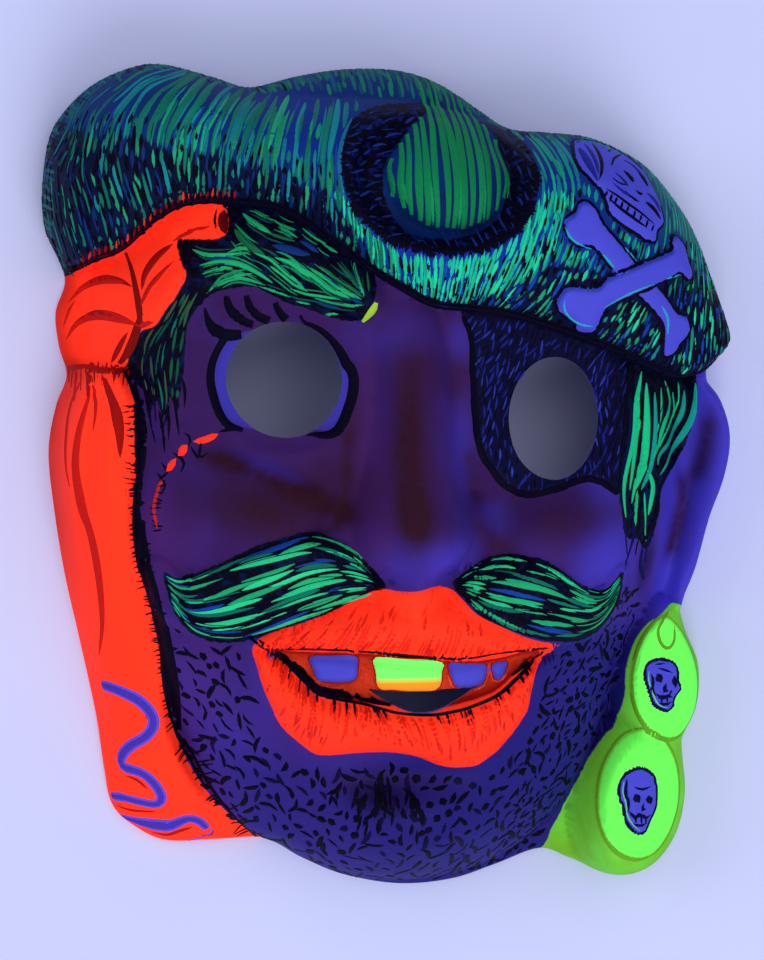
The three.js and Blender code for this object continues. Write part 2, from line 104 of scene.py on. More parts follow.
PATCH = trace("""
20.7,52 21.8,37.5 22,27.6 22.5,18.7 23.1,11.9 24.6,6.4 27.4,2.7 30.1,-1 33.7,-3.5 37.9,-4.8 42.2,-3.9
46.6,-3 50.5,-1.6 54.9,-1 58.1,-1.6 60.8,-2.9 64.2,-5 65.4,1 66.1,7.5 67.3,18.8 68.2,30.4 67.7,45
""")
FACE_MOUNDS = trace("""
-29,28,30,27,0,-7 46,17,28,30,0,-6 -38,-11,32,22,-8,9 50,-18,26,20,10,8 31,-2,12,16,20,-4
18.5,-14.5,12,13,0,8 -9.5,-16,10,12,0,6 4,-45,52,30,0,5 5,-84,24,9,0,-5 6,-101,34,22,0,10
""")
SOFT_RIDGES = drawing("""
2.6 2,48,9,2 5,36,10,6 6,20,11.5,10 5.7,4,14,15 5,-11,17,21 4.6,-19,16,21 4.6,-25,11,13
2 -57,47,7,2 -49,56,10,6 -38,62,11,7 -27,60,11,7 -17,55,10,7 -8,48,7,5
2 -37,-45,2,3 -20,-42,6,6 -5,-39.5,8.5,8 5,-38.5,9,7 16,-40,9,8 28,-44,5,6 44,-48,2,3
2 -35,-50,3,3 -28,-60,6,7 -15,-67,8,8 0,-68,7.5,8 14,-70,8.5,8 27,-65,8,7 37,-55,5,4 40,-50,3,2
""")
FULL_RIDGES = drawing("""
3.5 -62,-27,5,3 -57,-34,8,5 -46,-34,10,5.5 -33,-29,11.5,6 -21,-25,11.5,6 -11,-26,8,4.5 -3,-28.5,3,2
3.5 15,-28,3,2 22,-29.5,7,4.5 33,-31.5,11,6 44,-36,11,6 55,-39,8,5 63,-35,6,4 66,-28,3,2
3 -54,52,6,2 -60,42,7,2.5 -60,28,7,2.5 -60,14,4,2
3 78,32,8,2 79,18,8,3.5 78,4,6,3 74,-8,4,2.5 71,-18,2,1
""")
MOUTH_UPPER = trace("-42,-47 -35.7,-46.2 -14.8,-47.6 13.6,-49.7 37.9,-48.7 45.6,-49.4 52,-52")
MOUTH_LOWER = trace("-42,-43 -35.7,-46.2 -24.3,-54.4 -9.3,-61.4 13.6,-63.6 28.8,-60 41.4,-51.5 52,-46")
EAR_HELIX = trace("93,26,6,4 98.5,17,7,6 99.5,7,7,6.5 97.5,-5,7,6 94,-17,6.5,6 91,-29,6,5 88.5,-40,5,3")
CLOTH_FOLDS = [
    trace("-72,24,3,2 -76,5,4,1.6 -78,-20,5,1.2 -74,-45,5,0.8"),
    trace("-82,24,3,2 -86,5,4,1.6 -86,-20,4,1.2"),
]
KNOT_PINCH = trace("-92,27.5,3.5,2.5 -80,28,3,2.5 -70,28.5,3,2.5")

# the middle and the half widths of the eye holes; the slit's middle, half width, and how far its
# upper and lower edges sag; the level at which its cutter begins, and how deep cutters are in metres
LEFT_EYE_HOLE = (-28.4, 26.8, 15.4, 15.6)
RIGHT_EYE_HOLE = (45.4, 15.9, 13.2, 16.7)
SLIT = (8.8, -57.2, 15.0, 0.6, 6.4)
SLIT_BASE = -50.0
CUTTER_DEPTH = 0.2

BONE_OVER = trace("""
45.5,51.3 47.8,52 53.4,51.5 55.5,52 57.5,54.1 61.7,55.8 69.3,58.7 77.3,61.6 77.4,63.8 78.3,65.7
80.4,65.5 83,62.9 84.2,58.4 85.3,56 84.6,53.7 82.6,53.5 80.2,55.3 76.7,53.6 68.2,50.3 58.9,46.5
56.5,42.6 55.4,39.7 53.1,39.2 50.1,39.9 49.1,42.2 46.4,43.7 44.2,45.6 43.5,48
""")
BONE_UNDER = trace("""
45.4,69.4 46.8,70.8 48.3,71.7 49.4,73.7 51,74.9 53,74.4 55,72.3 56.9,68.5 60.5,64.7 65.9,58.7
73.9,51.2 76.9,48.2 79.9,44.7 82.9,43.7 84.2,41.7 84.6,39.7 83.3,37.3 81.6,35.8 80.1,33.4 77.3,32.2
75.8,33 75.6,39.9 73.7,43.4 69.6,47.3 59.6,56.1 54.7,61.3 53.2,62.5 49.6,62.5 47.5,63.9 45.8,66
""")
HAT_SKULL = trace("""
54.2,92.2 56.8,92.6 61.8,92 66.4,90.2 70,87.9 72.8,84.2 74.1,79 75.4,74.5 76,70.1 75.3,68.2 73.3,66.7
72.7,63.8 70.4,63.8 66.5,65.7 61.7,68.5 58.6,71.3 57.2,75.2 55.9,78 52.7,81.4 50.9,84.4 51.2,87.6
52.5,90.4
""")
BROW = trace("""
-46,66 -46,73.6 -39.7,73.6 -35.8,73.3 -30.6,72.4 -24.8,70 -19.1,66.6 -14,63 -8.8,60.1 -5.2,57.2
-4.2,54 -4.6,49.7 -6.4,45.4 -9,42.8 -13.7,43 -18.1,44.2 -24.2,46.6 -27.6,47.4 -34.2,50.9 -37.4,51.7
-42.2,51.4 -46.5,50.3 -49.4,48.2 -51,46.5 -54.2,41.1 -54.8,31.9 -56,24 -57,17.4 -58.8,22 -60.6,15.6
-62.6,21 -64.8,15.4 -65.8,22.4 -70.3,28.7 -69.2,33.9 -66.7,39.2 -62.4,41.2 -59.8,45.7 -57.3,48.7
-54.2,55.2 -55.9,58.1 -57.1,64.9 -53.8,64.6
""")
TUFT = trace("""
66,34 78.4,30 89.6,28 91.4,20.5 91.2,14 89.4,6 85,-0.4 80,-4.6 78.6,-11 77,-19 74.6,-22.5 71.3,-19
66.2,-17 65,-7.2 66.4,1 66.5,9 66.8,17 66,26
""")
LEFT_MOUSTACHE = trace("""
-61.2,-25.7 -58.8,-26.9 -56.4,-27.1 -49.5,-24.4 -39.7,-18.5 -34.8,-16.1 -29.8,-14.7 -23.6,-13.2
-17.5,-14.4 -11.2,-17.9 -5.8,-23.2 -2.9,-27.4 -5.9,-29.9 -9.3,-31.5 -15.8,-34.7 -22.8,-37.1
-27.9,-39.6 -32.9,-41.3 -40.7,-44.3 -47.6,-44.9 -52.9,-43.1 -55.7,-40.4 -57.8,-37.4 -59.9,-32
""")
RIGHT_MOUSTACHE = trace("""
15.8,-27.6 20.3,-23.6 23.5,-22.1 30,-20.2 34.5,-20.4 39.2,-21.2 42.3,-22.6 45.7,-24.7 52.1,-29.2
57.3,-31.5 60.9,-31.4 63.8,-29.2 66.1,-26.9 66.2,-32.7 64.4,-37.4 60.3,-42.8 57.2,-44.8 53,-46
46.1,-45.2 39.7,-43.6 31.4,-40.4 24.1,-37.1 19.8,-32.8
""")
LIPS = trace("""
-37.4,-44.8 -31.6,-40.7 -22.5,-37.1 -15.9,-34.4 -10.5,-31.1 -6.2,-29.3 -2.9,-28 0.9,-28.4 4.7,-28.2
9.3,-27.5 14.7,-28.7 17.5,-31 20,-33.8 23,-36.3 30.8,-40.3 35.8,-42.7 41.4,-44.7 47.1,-46.5 43.2,-48.9
41.6,-51.7 39.6,-54.1 39,-63.4 37.1,-67.7 31.3,-75.2 28,-77.9 24.7,-80.1 21.1,-80.6 17.2,-80.6
13.2,-79.5 6.8,-76.2 -0.6,-75 -9.2,-75.3 -18.8,-76.3 -23.7,-73.6 -29.4,-68.2 -32,-62.8 -34.3,-57.4
-36,-51.7
""")
MOUTH = trace("""
-35.1,-44.8 -29.6,-45.8 -16.1,-45.3 -5,-45.9 4.1,-47.4 12.3,-48.1 26.3,-48.8 35.9,-46.8 42.5,-47.2
39.8,-49.1 37.7,-51.8 33.2,-55.1 28.2,-58.7 21.3,-61.1 13.5,-62.5 1.9,-61.7 -9.6,-60.7 -19.5,-58
-24.9,-53.7 -32,-47.8
""")
TEETH = [
    trace("-22.5,-47.1 -17.3,-46 -10.5,-46.2 -9.2,-51.4 -10.2,-54.6 -15,-55.3 -19.6,-54.8 -21.2,-51.7"),
    trace("14.6,-48.9 19.8,-49.3 25.5,-50 26.3,-53.6 25.1,-57 21.1,-57.6 17.6,-56.8 16,-53.5"),
    trace("27.5,-50.3 29.9,-49.8 32.3,-50.3 32.1,-53.4 30.6,-55.2 28.7,-55.5"),
]
GOLD_TOOTH = trace("""
-5.7,-46.6 2.8,-47.1 12.3,-48.1 13.7,-52.2 13,-57.2 8,-57.9 1.2,-57.4 -3.5,-56.8 -4.6,-51.9
""")
EYE_WHITE = trace("""
-42.1,38.4 -45.6,34.6 -47.3,29.2 -47.9,23.3 -46.3,17.9 -42.9,14.9 -37.7,13.6 -29.8,13.6 -21.8,13.6
-16,13.4 -11.8,16.9 -10.3,22.8 -10.5,28.2 -13.6,32.1 -18.3,36.1 -22.7,38.8 -29.3,40.1 -36,40.1
""")
DENT = trace("""
14.4,101.8 4.4,101.6 -3.8,100.2 -9.5,96.8 -13,91.2 -14,83.9 -12.9,77.3 -9.8,71.3 -4.6,66.3 1.6,62.6
9.4,60.8 17.3,60.8 25.3,62.3 31.6,65.8 36.1,71.1 39,77.5 39.8,83.6 39.4,90 37.2,94.5 31,96.8 24,97.5
""")
BULGE = trace("""
13.6,104 12,99.8 6.5,95.2 2.2,89.6 -1.5,84.2 -2.3,77.5 0,70.9 3.6,66 9,64.8 15.2,64.6 22.6,66.2
28.4,70 30.4,74 30.9,80.3 31,88.8 28.7,95.1 24.6,98 24,104
""")
EARRING = trace("""
85.6,-39.9 81,-43 77.2,-45.4 73.7,-50.6 71.6,-58.2 71.4,-66.3 70.4,-74.7 66.7,-78.7 62.3,-85.6
59.1,-93.6 55.8,-102.8 52,-110.8 52,-126 100,-126 104,-80 102,-60 93,-46 89,-41
""")
TOP_DISC = trace("""
82.5,-43.5 78.1,-46.7 75,-51.7 73.2,-58.6 73.3,-65.3 75.1,-71.1 78.9,-76 84.1,-78.3 89.5,-77.1
93.2,-72.5 94.1,-64.5 92.7,-57.4 90,-51 86.4,-46.2
""")
BOTTOM_DISC = trace("""
75.6,-76.1 71,-78.1 67.4,-82.1 64.6,-87.6 63.2,-93.9 63.2,-100.2 65,-105.8 69,-110.2 74.8,-112.4
80.3,-111 84.4,-106.2 87,-99.5 87.5,-92.5 86.2,-85.3 82.8,-79.6 79,-76.6
""")
DISC_SKULLS = [
    trace("""
81.3,-55.2 84.9,-56.2 86.8,-58.6 86.9,-61.9 87.9,-64.2 85.8,-66.9 85.5,-69.1 83.7,-70.5 81.3,-69.7
79.2,-68.2 78.2,-66.2 77,-62.8 76.3,-60.6 76.3,-57.7 78.1,-55.6
"""),
    trace("""
74.4,-86.1 78.2,-87.7 80.1,-91.2 80.4,-95.6 79.8,-99.2 78.3,-102 77,-104.7 75,-105.5 72.8,-104.1
70.5,-101.2 69.7,-97.3 68.5,-94.1 68.2,-90.6 70.4,-87.4
"""),
]
# width, then the line, of each mark inside the two skulls
SKULL_MARKS = drawing("""
2.5 80,-59.2 81.4,-61.9
1.6 82.9,-62.4 82.4,-64.3 83.7,-64.6
1.8 85.7,-60.4 86,-63.8
1.3 79.8,-65 81.5,-66.5 83.2,-65.9 85.2,-66.6
0.8 81.5,-66 81.6,-68
0.8 83.3,-65.8 83.4,-67.9
1 80.7,-67.7 83,-68.5 84.9,-67.8
1.3 78,-59 78.9,-61.2 78.4,-63.6 79.8,-65.7
0.7 80.3,-57.6 82.7,-58.4 84.9,-59.4
0.8 84.8,-64.4 84,-65.9
0.5 79.4,-56.5 82.4,-56.5
2.5 73.3,-93.5 74.6,-96.1
2.2 77.7,-94.5 78.3,-97
1.5 76.2,-96.6 75.8,-98.3 76.8,-98.4
0.8 73,-91.4 75.6,-92.4 78.4,-91.9
1.4 71.4,-98.2 73.4,-100.4 75.2,-99.6 76.7,-101 78.4,-100.2
0.8 73.5,-100 73.7,-102
0.8 75.3,-99.6 75.5,-102.6
0.8 76.9,-100.6 76.8,-102.4
1 72.7,-102 75,-103 77.2,-102.4
1.3 70.7,-88.8 70.3,-93 71.3,-96 70.8,-99
""")
INK_TOP = trace("""
-110,96 -92.5,99 -86,98.5 -79.7,97 -74.4,96.5 -66.5,95.5 -58.6,93.6 -49.4,92 -40.3,89.4 -32.5,88.4
-24.7,85.6 -17,80.4 -11.9,73 -6,64.2 1.3,57.9 9.2,52.9 18.5,51.5 27.7,54.7 35.8,59.5 42.8,63.4
48.4,61.6 55.7,62 63.1,66 72,62 80,60 88,62 110,60
""")
# places on the hat with the way its brush strokes run down there
HAT_FLOW = trace("""
-74.3,105,-0.8,-0.6 -60.7,109,-0.95,-0.3 -42.4,110.1,-0.85,-0.5 -63.8,98.7,-0.5,-0.87
-50.6,98.6,-0.6,-0.8 -36.3,102.4,-0.7,-0.7 -40.2,93.3,-0.35,-0.93 -26.1,99.3,-0.5,-0.85
-88,88.9,-0.5,-0.85 -79.8,91,-0.2,-1 -66.5,90.7,-0.05,-1 -50.8,88,-0.1,-1 -81.8,77.6,0.3,-0.95
-88.1,75.2,0.1,-1 -85.5,64.3,0.3,-0.95 -69.3,77.5,0.35,-0.93 -61.3,80.1,0.25,-0.97 -50.7,77.5,0.05,-1
-40.2,77.5,0.05,-1 -29.9,80,-0.05,-1 -24.5,90.6,-0.15,-1 -16,96.2,-0.3,-0.95 -17,79.9,0,-1
-11.8,69.4,0.1,-1 -3.8,58.9,0.15,-0.99 6.5,56.3,0.1,-1 16.9,56.3,-0.15,-1 27.7,56.3,-0.4,-0.92
38.5,61.6,-0.3,-0.95 45.3,88.9,0.15,-0.99 38.8,53.6,-0.5,-0.87 34,45.6,-0.75,-0.65 56.5,42.8,-0.6,-0.8
69,34.4,-0.5,-0.87 84.1,53.4,-0.2,-0.98 87.9,39.6,0,-1
""")


# ---- curves and distances ----


def smooth(points, steps, closed=False):
    """A smooth line through the points, with so many steps from each to the next."""
    p = np.array(points, float)
    count = len(p)
    if closed:
        before, after, beyond = np.roll(p, 1, 0), np.roll(p, -1, 0), np.roll(p, -2, 0)
    else:
        full = np.vstack([2 * p[0] - p[1], p, 2 * p[-1] - p[-2]])
        before, after, beyond = full[: count - 1], full[2 : count + 1], full[3:]
        p = p[:-1]
    t = (np.arange(steps) / steps)[None, :, None]
    a, b, c, d = (q[:, None, :] for q in (before, p, after, beyond))
    bend = (2 * a - 5 * b + 4 * c - d) * t**2
    line = 0.5 * (2 * b + (c - a) * t + bend + (3 * b - a - 3 * c + d) * t**3)
    line = line.reshape(-1, p.shape[1])
    return line if closed else np.vstack([line, np.array(points, float)[-1:]])


def ring(outline, steps):
    """The smooth closed line round an outline."""
    return smooth(outline, steps, closed=True)


def ramp(low, high, value):
    t = np.clip((value - low) / (high - low), 0, 1)
    return t * t * (3 - 2 * t)


def mix(a, b, share):
    return a + (b - a) * share


def rounded_edge(distance, width):
    t = np.clip(distance / width, 0, 1)
    return np.sqrt(np.maximum(1 - (1 - t) ** 2, 0))


def read_line(points, at):
    line = smooth(points, 6)
    return np.interp(at, line[:, 0], line[:, 1])


def hat_edge(x):
    return read_line(HAT_LOWER_EDGE, x)


def oval(x, y, cx, cy, rx, ry, turn=0.0):
    a = math.radians(turn)
    dx, dy = x - cx, y - cy
    cos, sin = math.cos(a), math.sin(a)
    return np.hypot((dx * cos + dy * sin) / rx, (dy * cos - dx * sin) / ry)


def mound(x, y, cx, cy, rx, ry, turn=0.0):
    r = np.clip(oval(x, y, cx, cy, rx, ry, turn), 0, 1)
    return (1 - r * r) ** 2


def add_mounds(value, x, y, mounds):
    """Adds mounds, each given by its middle, half widths, turn and height."""
    for *form, height in mounds:
        value = value + height * mound(x, y, *form)
    return value


def nearest(x, y, line):
    """Distance from each place to a line, the number of the nearest piece and the share along it."""
    best = np.full(np.shape(x), 1e9)
    piece = np.zeros(np.shape(x), int)
    share = np.zeros(np.shape(x))
    for k in range(len(line) - 1):
        ax, ay = line[k][:2]
        ex, ey = line[k + 1][0] - ax, line[k + 1][1] - ay
        t = np.clip(((x - ax) * ex + (y - ay) * ey) / (ex * ex + ey * ey + 1e-9), 0, 1)
        d = np.hypot(x - ax - t * ex, y - ay - t * ey)
        nearer = d < best
        best, piece, share = (
            np.where(nearer, new, old) for new, old in ((d, best), (k, piece), (t, share))
        )
    return best, piece, share


def ridge(x, y, stations, power, shoulder):
    """A raised line whose half width and height change from station to station."""
    line = smooth(stations, 6)
    best, piece, share = nearest(x, y, line)
    width = mix(line[piece, 2], line[piece + 1, 2], share)
    height = mix(line[piece, 3], line[piece + 1, 3], share)
    r = np.clip(best / np.maximum(width, 0.1), 0, 1)
    return height * (1 - r**power) ** shoulder


def inside(x, y, outline, steps=4):
    """Distance to an outline: positive inside it, negative outside."""
    line = ring(outline, steps) if steps else np.array(outline, float)
    low, high = line.min(0) - FAR, line.max(0) + FAR
    flat_x, flat_y = np.ravel(x), np.ravel(y)
    near = (flat_x > low[0]) & (flat_x < high[0]) & (flat_y > low[1]) & (flat_y < high[1])
    result = np.full(flat_x.shape, -FAR)
    px, py = flat_x[near], flat_y[near]
    loop = np.vstack([line, line[:1]])
    best, _, _ = nearest(px, py, loop)
    within = np.zeros(px.shape, bool)
    for (ax, ay), (bx, by) in zip(loop[:-1], loop[1:]):
        if ay != by:
            crosses = ((ay > py) != (by > py)) & (px < ax + (py - ay) / (by - ay) * (bx - ax))
            within ^= crosses
    result[near] = np.where(within, best, -best)
    return result.reshape(np.shape(x))


def rim_table():
    line = ring(RIM, 12) - np.array(RIM_CENTRE)
    angle = np.arctan2(line[:, 1], line[:, 0])
    order = np.argsort(angle)
    angle, reach = angle[order], np.hypot(line[:, 0], line[:, 1])[order]
    return np.append(angle, angle[0] + 2 * math.pi), np.append(reach, reach[0])


RIM_ANGLES, RIM_REACH = rim_table()


def rim_reach(angle):
    turn = (angle - RIM_ANGLES[0]) % (2 * math.pi) + RIM_ANGLES[0]
    return np.interp(turn, RIM_ANGLES, RIM_REACH)


def rim_distance(x, y):
    dx, dy = x - RIM_CENTRE[0], y - RIM_CENTRE[1]
    return rim_reach(np.arctan2(dy, dx)) - np.hypot(dx, dy)


# ---- the moulded surface ----


NOSTRILS = trace("0.5,-26.5,5,3,-15,-2.4 12,-27,5,3,15,-2.4")
# depth and half width, then the line
CREASES = drawing("""
1.3 4.5 -45.4,10.5 -37.8,7.5 -28.7,4.2 -20.1,0
1.6 4 21.1,-3 17.5,-8.1 19.1,-14.8 26.4,-21.8 32,-24.5
1.2 4 -14,-4 -16.5,-10 -20,-14
1 4 72,-8 75,-20 76,-34
""")
SOCKETS = trace("70,73,6,4,-35,-0.8 62,82,5,3,-60,-0.6")
EAR_FORMS = trace("89,4,6,17,8,-2.2 86,-6,3.5,9,10,1.5")


def face_relief(x, y):
    flare = np.where(x < 6, ramp(-80, -30, y), ramp(-65, -10, y))
    across = 71 + 21 * flare
    along = np.where(y < -30, 95.0, 210.0)
    plan = (np.abs((x - 6) / across) ** 2.3 + np.abs((y + 30) / along) ** 2.3) ** (1 / 2.3)
    face = 57 * (1 - np.minimum(plan, 1) ** 2.6) ** 0.75
    face = add_mounds(face, x, y, FACE_MOUNDS)
    for power, stations in SOFT_RIDGES:
        face = face + ridge(x, y, stations, power, 1.5)
    for power, stations in FULL_RIDGES:
        face = face + ridge(x, y, stations, power, 0.8)
    face = face + 1.4 * ramp(-0.5, 1.5, inside(x, y, PATCH, 0))
    opening = np.minimum(read_line(MOUTH_UPPER, x) - y, y - read_line(MOUTH_LOWER, x))
    return face - 7 * ramp(-1.5, 3, opening)


def fine_face(x, y):
    """The small forms on the face: eyelids, nostrils, creases, teeth and gums."""
    lid = oval(x, y, -28.4, 26.8, 19.5, 18.5)
    fine = 1.1 * np.exp(-(((lid - 1.08) / 0.09) ** 2)) * ramp(-52, -46, x)
    fine = add_mounds(fine, x, y, NOSTRILS)
    for depth, width, crease in CREASES:
        best, _, _ = nearest(x, y, smooth(crease, 5))
        fine = fine - depth * np.exp(-((best / width) ** 2) * 2)
    for tooth in (*TEETH, GOLD_TOOTH):
        fine = fine + 2.3 * rounded_edge(inside(x, y, tooth, 2) + 0.6, 1.8)
    gum = inside(x, y, trace("-24,-46 33,-48 31,-58 10,-60.5 -10,-59 -22,-56"))
    return fine + 0.9 * ramp(-0.5, 1.2, gum)


# eye and nose hollows as shares of a little skull: place, half widths and depth
SMALL_HOLLOWS = ((-0.2, 0.08, 0.17, 0.14, 0.9), (0.2, 0.08, 0.17, 0.14, 0.9), (0, -0.12, 0.1, 0.1, 0.6))


def small_skull(x, y, outline, lift):
    """A little low skull with its eye and nose hollows."""
    middle = np.mean(outline, axis=0)
    size = np.ptp(outline, axis=0)
    form = lift * rounded_edge(inside(x, y, outline), size[0] * 0.3)
    for aside, up, wide, high, depth in SMALL_HOLLOWS:
        place = middle[0] + aside * size[0], middle[1] + up * size[1]
        form = form - lift * depth * mound(x, y, *place, size[0] * wide, size[1] * high)
    return form


def hat_relief(x, y, face, lower_edge):
    upper_edge = read_line(HAT_UPPER_EDGE, x)
    v = np.clip((y - lower_edge) / (upper_edge - lower_edge), 0, 1)
    fall = np.where(v < 0.35, 0.1 * ((0.35 - v) / 0.35) ** 2, 0.36 * ((v - 0.35) / 0.65) ** 2)
    front = np.maximum(read_line(HAT_RIDGE, x) * (1 - fall), face + 5 * (1 - v))
    behind = mix(face, 34.0, ramp(0.3, 0.7, v))
    hat = mix(behind, front, rounded_edge(y - lower_edge, 4.5) * rounded_edge(upper_edge - y, 7))
    dent = ramp(1, 0.72, oval(x, y, 13.3, 80.5, 26.5, 20, -6))
    hat = hat - 9 * dent * mix(1, 0.45, ramp(88, 100, y))
    bulge = np.minimum(oval(x, y, 15.5, 82, 17.5, 15.5, -6), 1)
    hat = hat + 8 * (1 - bulge**2.4) ** 0.7
    skull = inside(x, y, HAT_SKULL)
    hat = add_mounds(hat + 1.2 * rounded_edge(skull, 4), x, y, SOCKETS)
    under = 1.0 * rounded_edge(inside(x, y, BONE_UNDER), 3)
    over = 1.7 * rounded_edge(inside(x, y, BONE_OVER), 3)
    return hat + np.maximum(under, over)


def mask_height(x, y):
    """Height of the outside of the mask above its rim, everywhere within its outline."""
    reach = rim_distance(x, y)
    surface = face_relief(x, y) + fine_face(x, y)
    ear = add_mounds(20 + ridge(x, y, EAR_HELIX, 2, 1.5), x, y, EAR_FORMS)
    ear_zone = ramp(80, 88, x) * ramp(-52, -40, y) * ramp(36, 26, y)
    surface = mix(surface, ear, ear_zone)
    edge = np.interp(y, *smooth(CLOTH_EDGE, 6).T)
    cloth = np.interp(y, *smooth(CLOTH_HEIGHT, 6).T) * rounded_edge(reach, 26)
    for fold in CLOTH_FOLDS:
        cloth = cloth + ridge(x, y, fold, 2, 1.5)
    hanging = ramp(-1, 3.5, edge - x) * ramp(31.5, 27.5, y)
    band = ramp(-1.5, 3, inside(x, y, KNOT, 0)) * ramp(26.5, 31.5, y)
    surface = mix(surface, cloth, hanging) + 3 * band - ridge(x, y, KNOT_PINCH, 2, 1.5)
    lower_edge = hat_edge(x)
    z = np.where(y > lower_edge, hat_relief(x, y, surface, lower_edge), surface)
    disc_top = 26 - 0.4 * (x - 75)
    top = ramp(11, 0, (oval(x, y, 85, -61.5, 10.5, 17.5) - 1) * 10.5)
    bottom = ramp(11, 0, (oval(x, y, 78, -97, 12.5, 19, -10) - 1) * 12.5)
    discs = disc_top * np.maximum(top, bottom)
    for outline in (TOP_DISC, BOTTOM_DISC):
        discs = discs + 0.9 * ramp(-0.8, 0.8, inside(x, y, outline))
    for outline in DISC_SKULLS:
        discs = discs + small_skull(x, y, outline, 0.7)
    z = np.maximum(np.maximum(z, np.where(np.maximum(top, bottom) > 0, discs, 0)), 7.0)
    rounding = mix(8.0, 18.0, ramp(35, 60, y))
    ear_side = ramp(85, 92, x) * ramp(-50, -38, y) * ramp(32, 26, y)
    z = z * rounded_edge(reach, mix(rounding, 5.0, ear_side))
    return z - 0.13 * np.maximum(z - 70, 0)


def to_frame(x, y, z):
    """Drawn millimetres to the frame's metres."""
    return np.stack([x - DRAWN_CENTRE[0], y - DRAWN_CENTRE[1], z], -1) / 1000


# ---- settings ----


def tint(red, green, blue):
    """A colour as seen on a screen, 0 to 255, as the linear values that the paints use."""
    parts = [v / 255 for v in (red, green, blue)]
    return tuple(p / 12.92 if p <= 0.04045 else ((p + 0.055) / 1.055) ** 2.4 for p in parts)


def colour_setting(name, description, value):
    return bpy.props.FloatVectorProperty(
        name=name, description=description, subtype="COLOR", size=3, min=0, max=1, default=tint(*value)
    )


def size_setting(name, description, metres):
    return bpy.props.FloatProperty(name=name, description=description, default=metres, unit="LENGTH")


class MaskSizes(bpy.types.PropertyGroup):
    """Sizes of the shell and of the brush strokes"""

    wall: size_setting("Wall", "Thickness of the moulded plastic", 0.0008)
    cells: bpy.props.IntProperty(
        name="Cells", description="Cells across the shell's grid", default=208, min=40, max=215
    )
    paint_lift: size_setting("Paint thickness", "How proud a brush stroke stands", 0.00012)
    stroke_step: size_setting("Stroke step", "Distance between points of a stroke", 0.0013)


class MaskColours(bpy.types.PropertyGroup):
    """Colours of the paints and the bare plastic"""

    skin: colour_setting("Skin", "Plum skin in the middle of the face", (54, 26, 84))
    # painted highlight: the violet that stands in for light on the skin's slopes, nose, cheeks, brow,
    # jaw and ear
    skin_highlight: colour_setting("Skin edge", "Violet skin where the face turns away", (68, 62, 206))
    airbrush: colour_setting("Airbrush", "Brown shading blown into the skin", (46, 17, 34))
    ink: colour_setting("Ink", "Blue-black brush lines", (5, 3, 22))
    patch: colour_setting("Patch", "Navy of the eye patch", (9, 9, 46))
    hat_dim: colour_setting("Hat blue", "Dull blue of the hat", (10, 42, 100))
    hat_bright: colour_setting("Bright hat blue", "Blue of the hat round its dent", (18, 44, 150))
    green_dim: colour_setting("Dim green", "Green strokes high on the hat", (14, 100, 82))
    green: colour_setting("Green", "Green strokes of the hat and the hair", (24, 138, 98))
    green_bright: colour_setting("Bright green", "Brightest green strokes", (24, 188, 138))
    teal: colour_setting("Teal", "Cooler green strokes", (14, 114, 122))
    cloth: colour_setting("Bandana", "Fluorescent orange-red", (252, 50, 27))
    cloth_dark: colour_setting("Bandana folds", "Dark red lines of the folds", (150, 14, 8))
    bone: colour_setting("Bone", "Violet-white of bones, teeth and eye", (72, 74, 200))
    gold: colour_setting("Gold tooth", "Yellow-green tooth", (112, 238, 100))
    disc: colour_setting("Earring", "Yellow-green discs", (98, 234, 80))
    # painted shade: the darker olive of the discs' sides; the hoop is drawn in this colour too
    disc_side: colour_setting("Earring side", "Duller side of the discs", (96, 156, 36))
    bare: colour_setting("Bare plastic", "Unpainted plastic inside", (96, 92, 200))
    floor: colour_setting("Floor", "Plain pale floor", (200, 204, 242))


# ---- shader benches ----


class Wire:
    """The output of a shader node, which can be added to, multiplied and so on."""

    def __init__(self, bench, output):
        self.bench, self.output = bench, output

    def clamp(self):
        return self.bench.maths("ADD", self, 0.0, clamp=True)


def allow_sum(name, operation):
    """Lets a wire and a number or another wire be joined by a sum, either way round."""
    setattr(Wire, f"__{name}__", lambda wire, other: wire.bench.maths(operation, wire, other))
    setattr(Wire, f"__r{name}__", lambda wire, other: wire.bench.maths(operation, other, wire))


SUMS = {"add": "ADD", "sub": "SUBTRACT", "mul": "MULTIPLY", "truediv": "DIVIDE"}
for sum_name, sum_node in SUMS.items():
    allow_sum(sum_name, sum_node)


# how strongly every surface mirrors, low because the paint is matt under soft lamps
SHEEN = 0.035


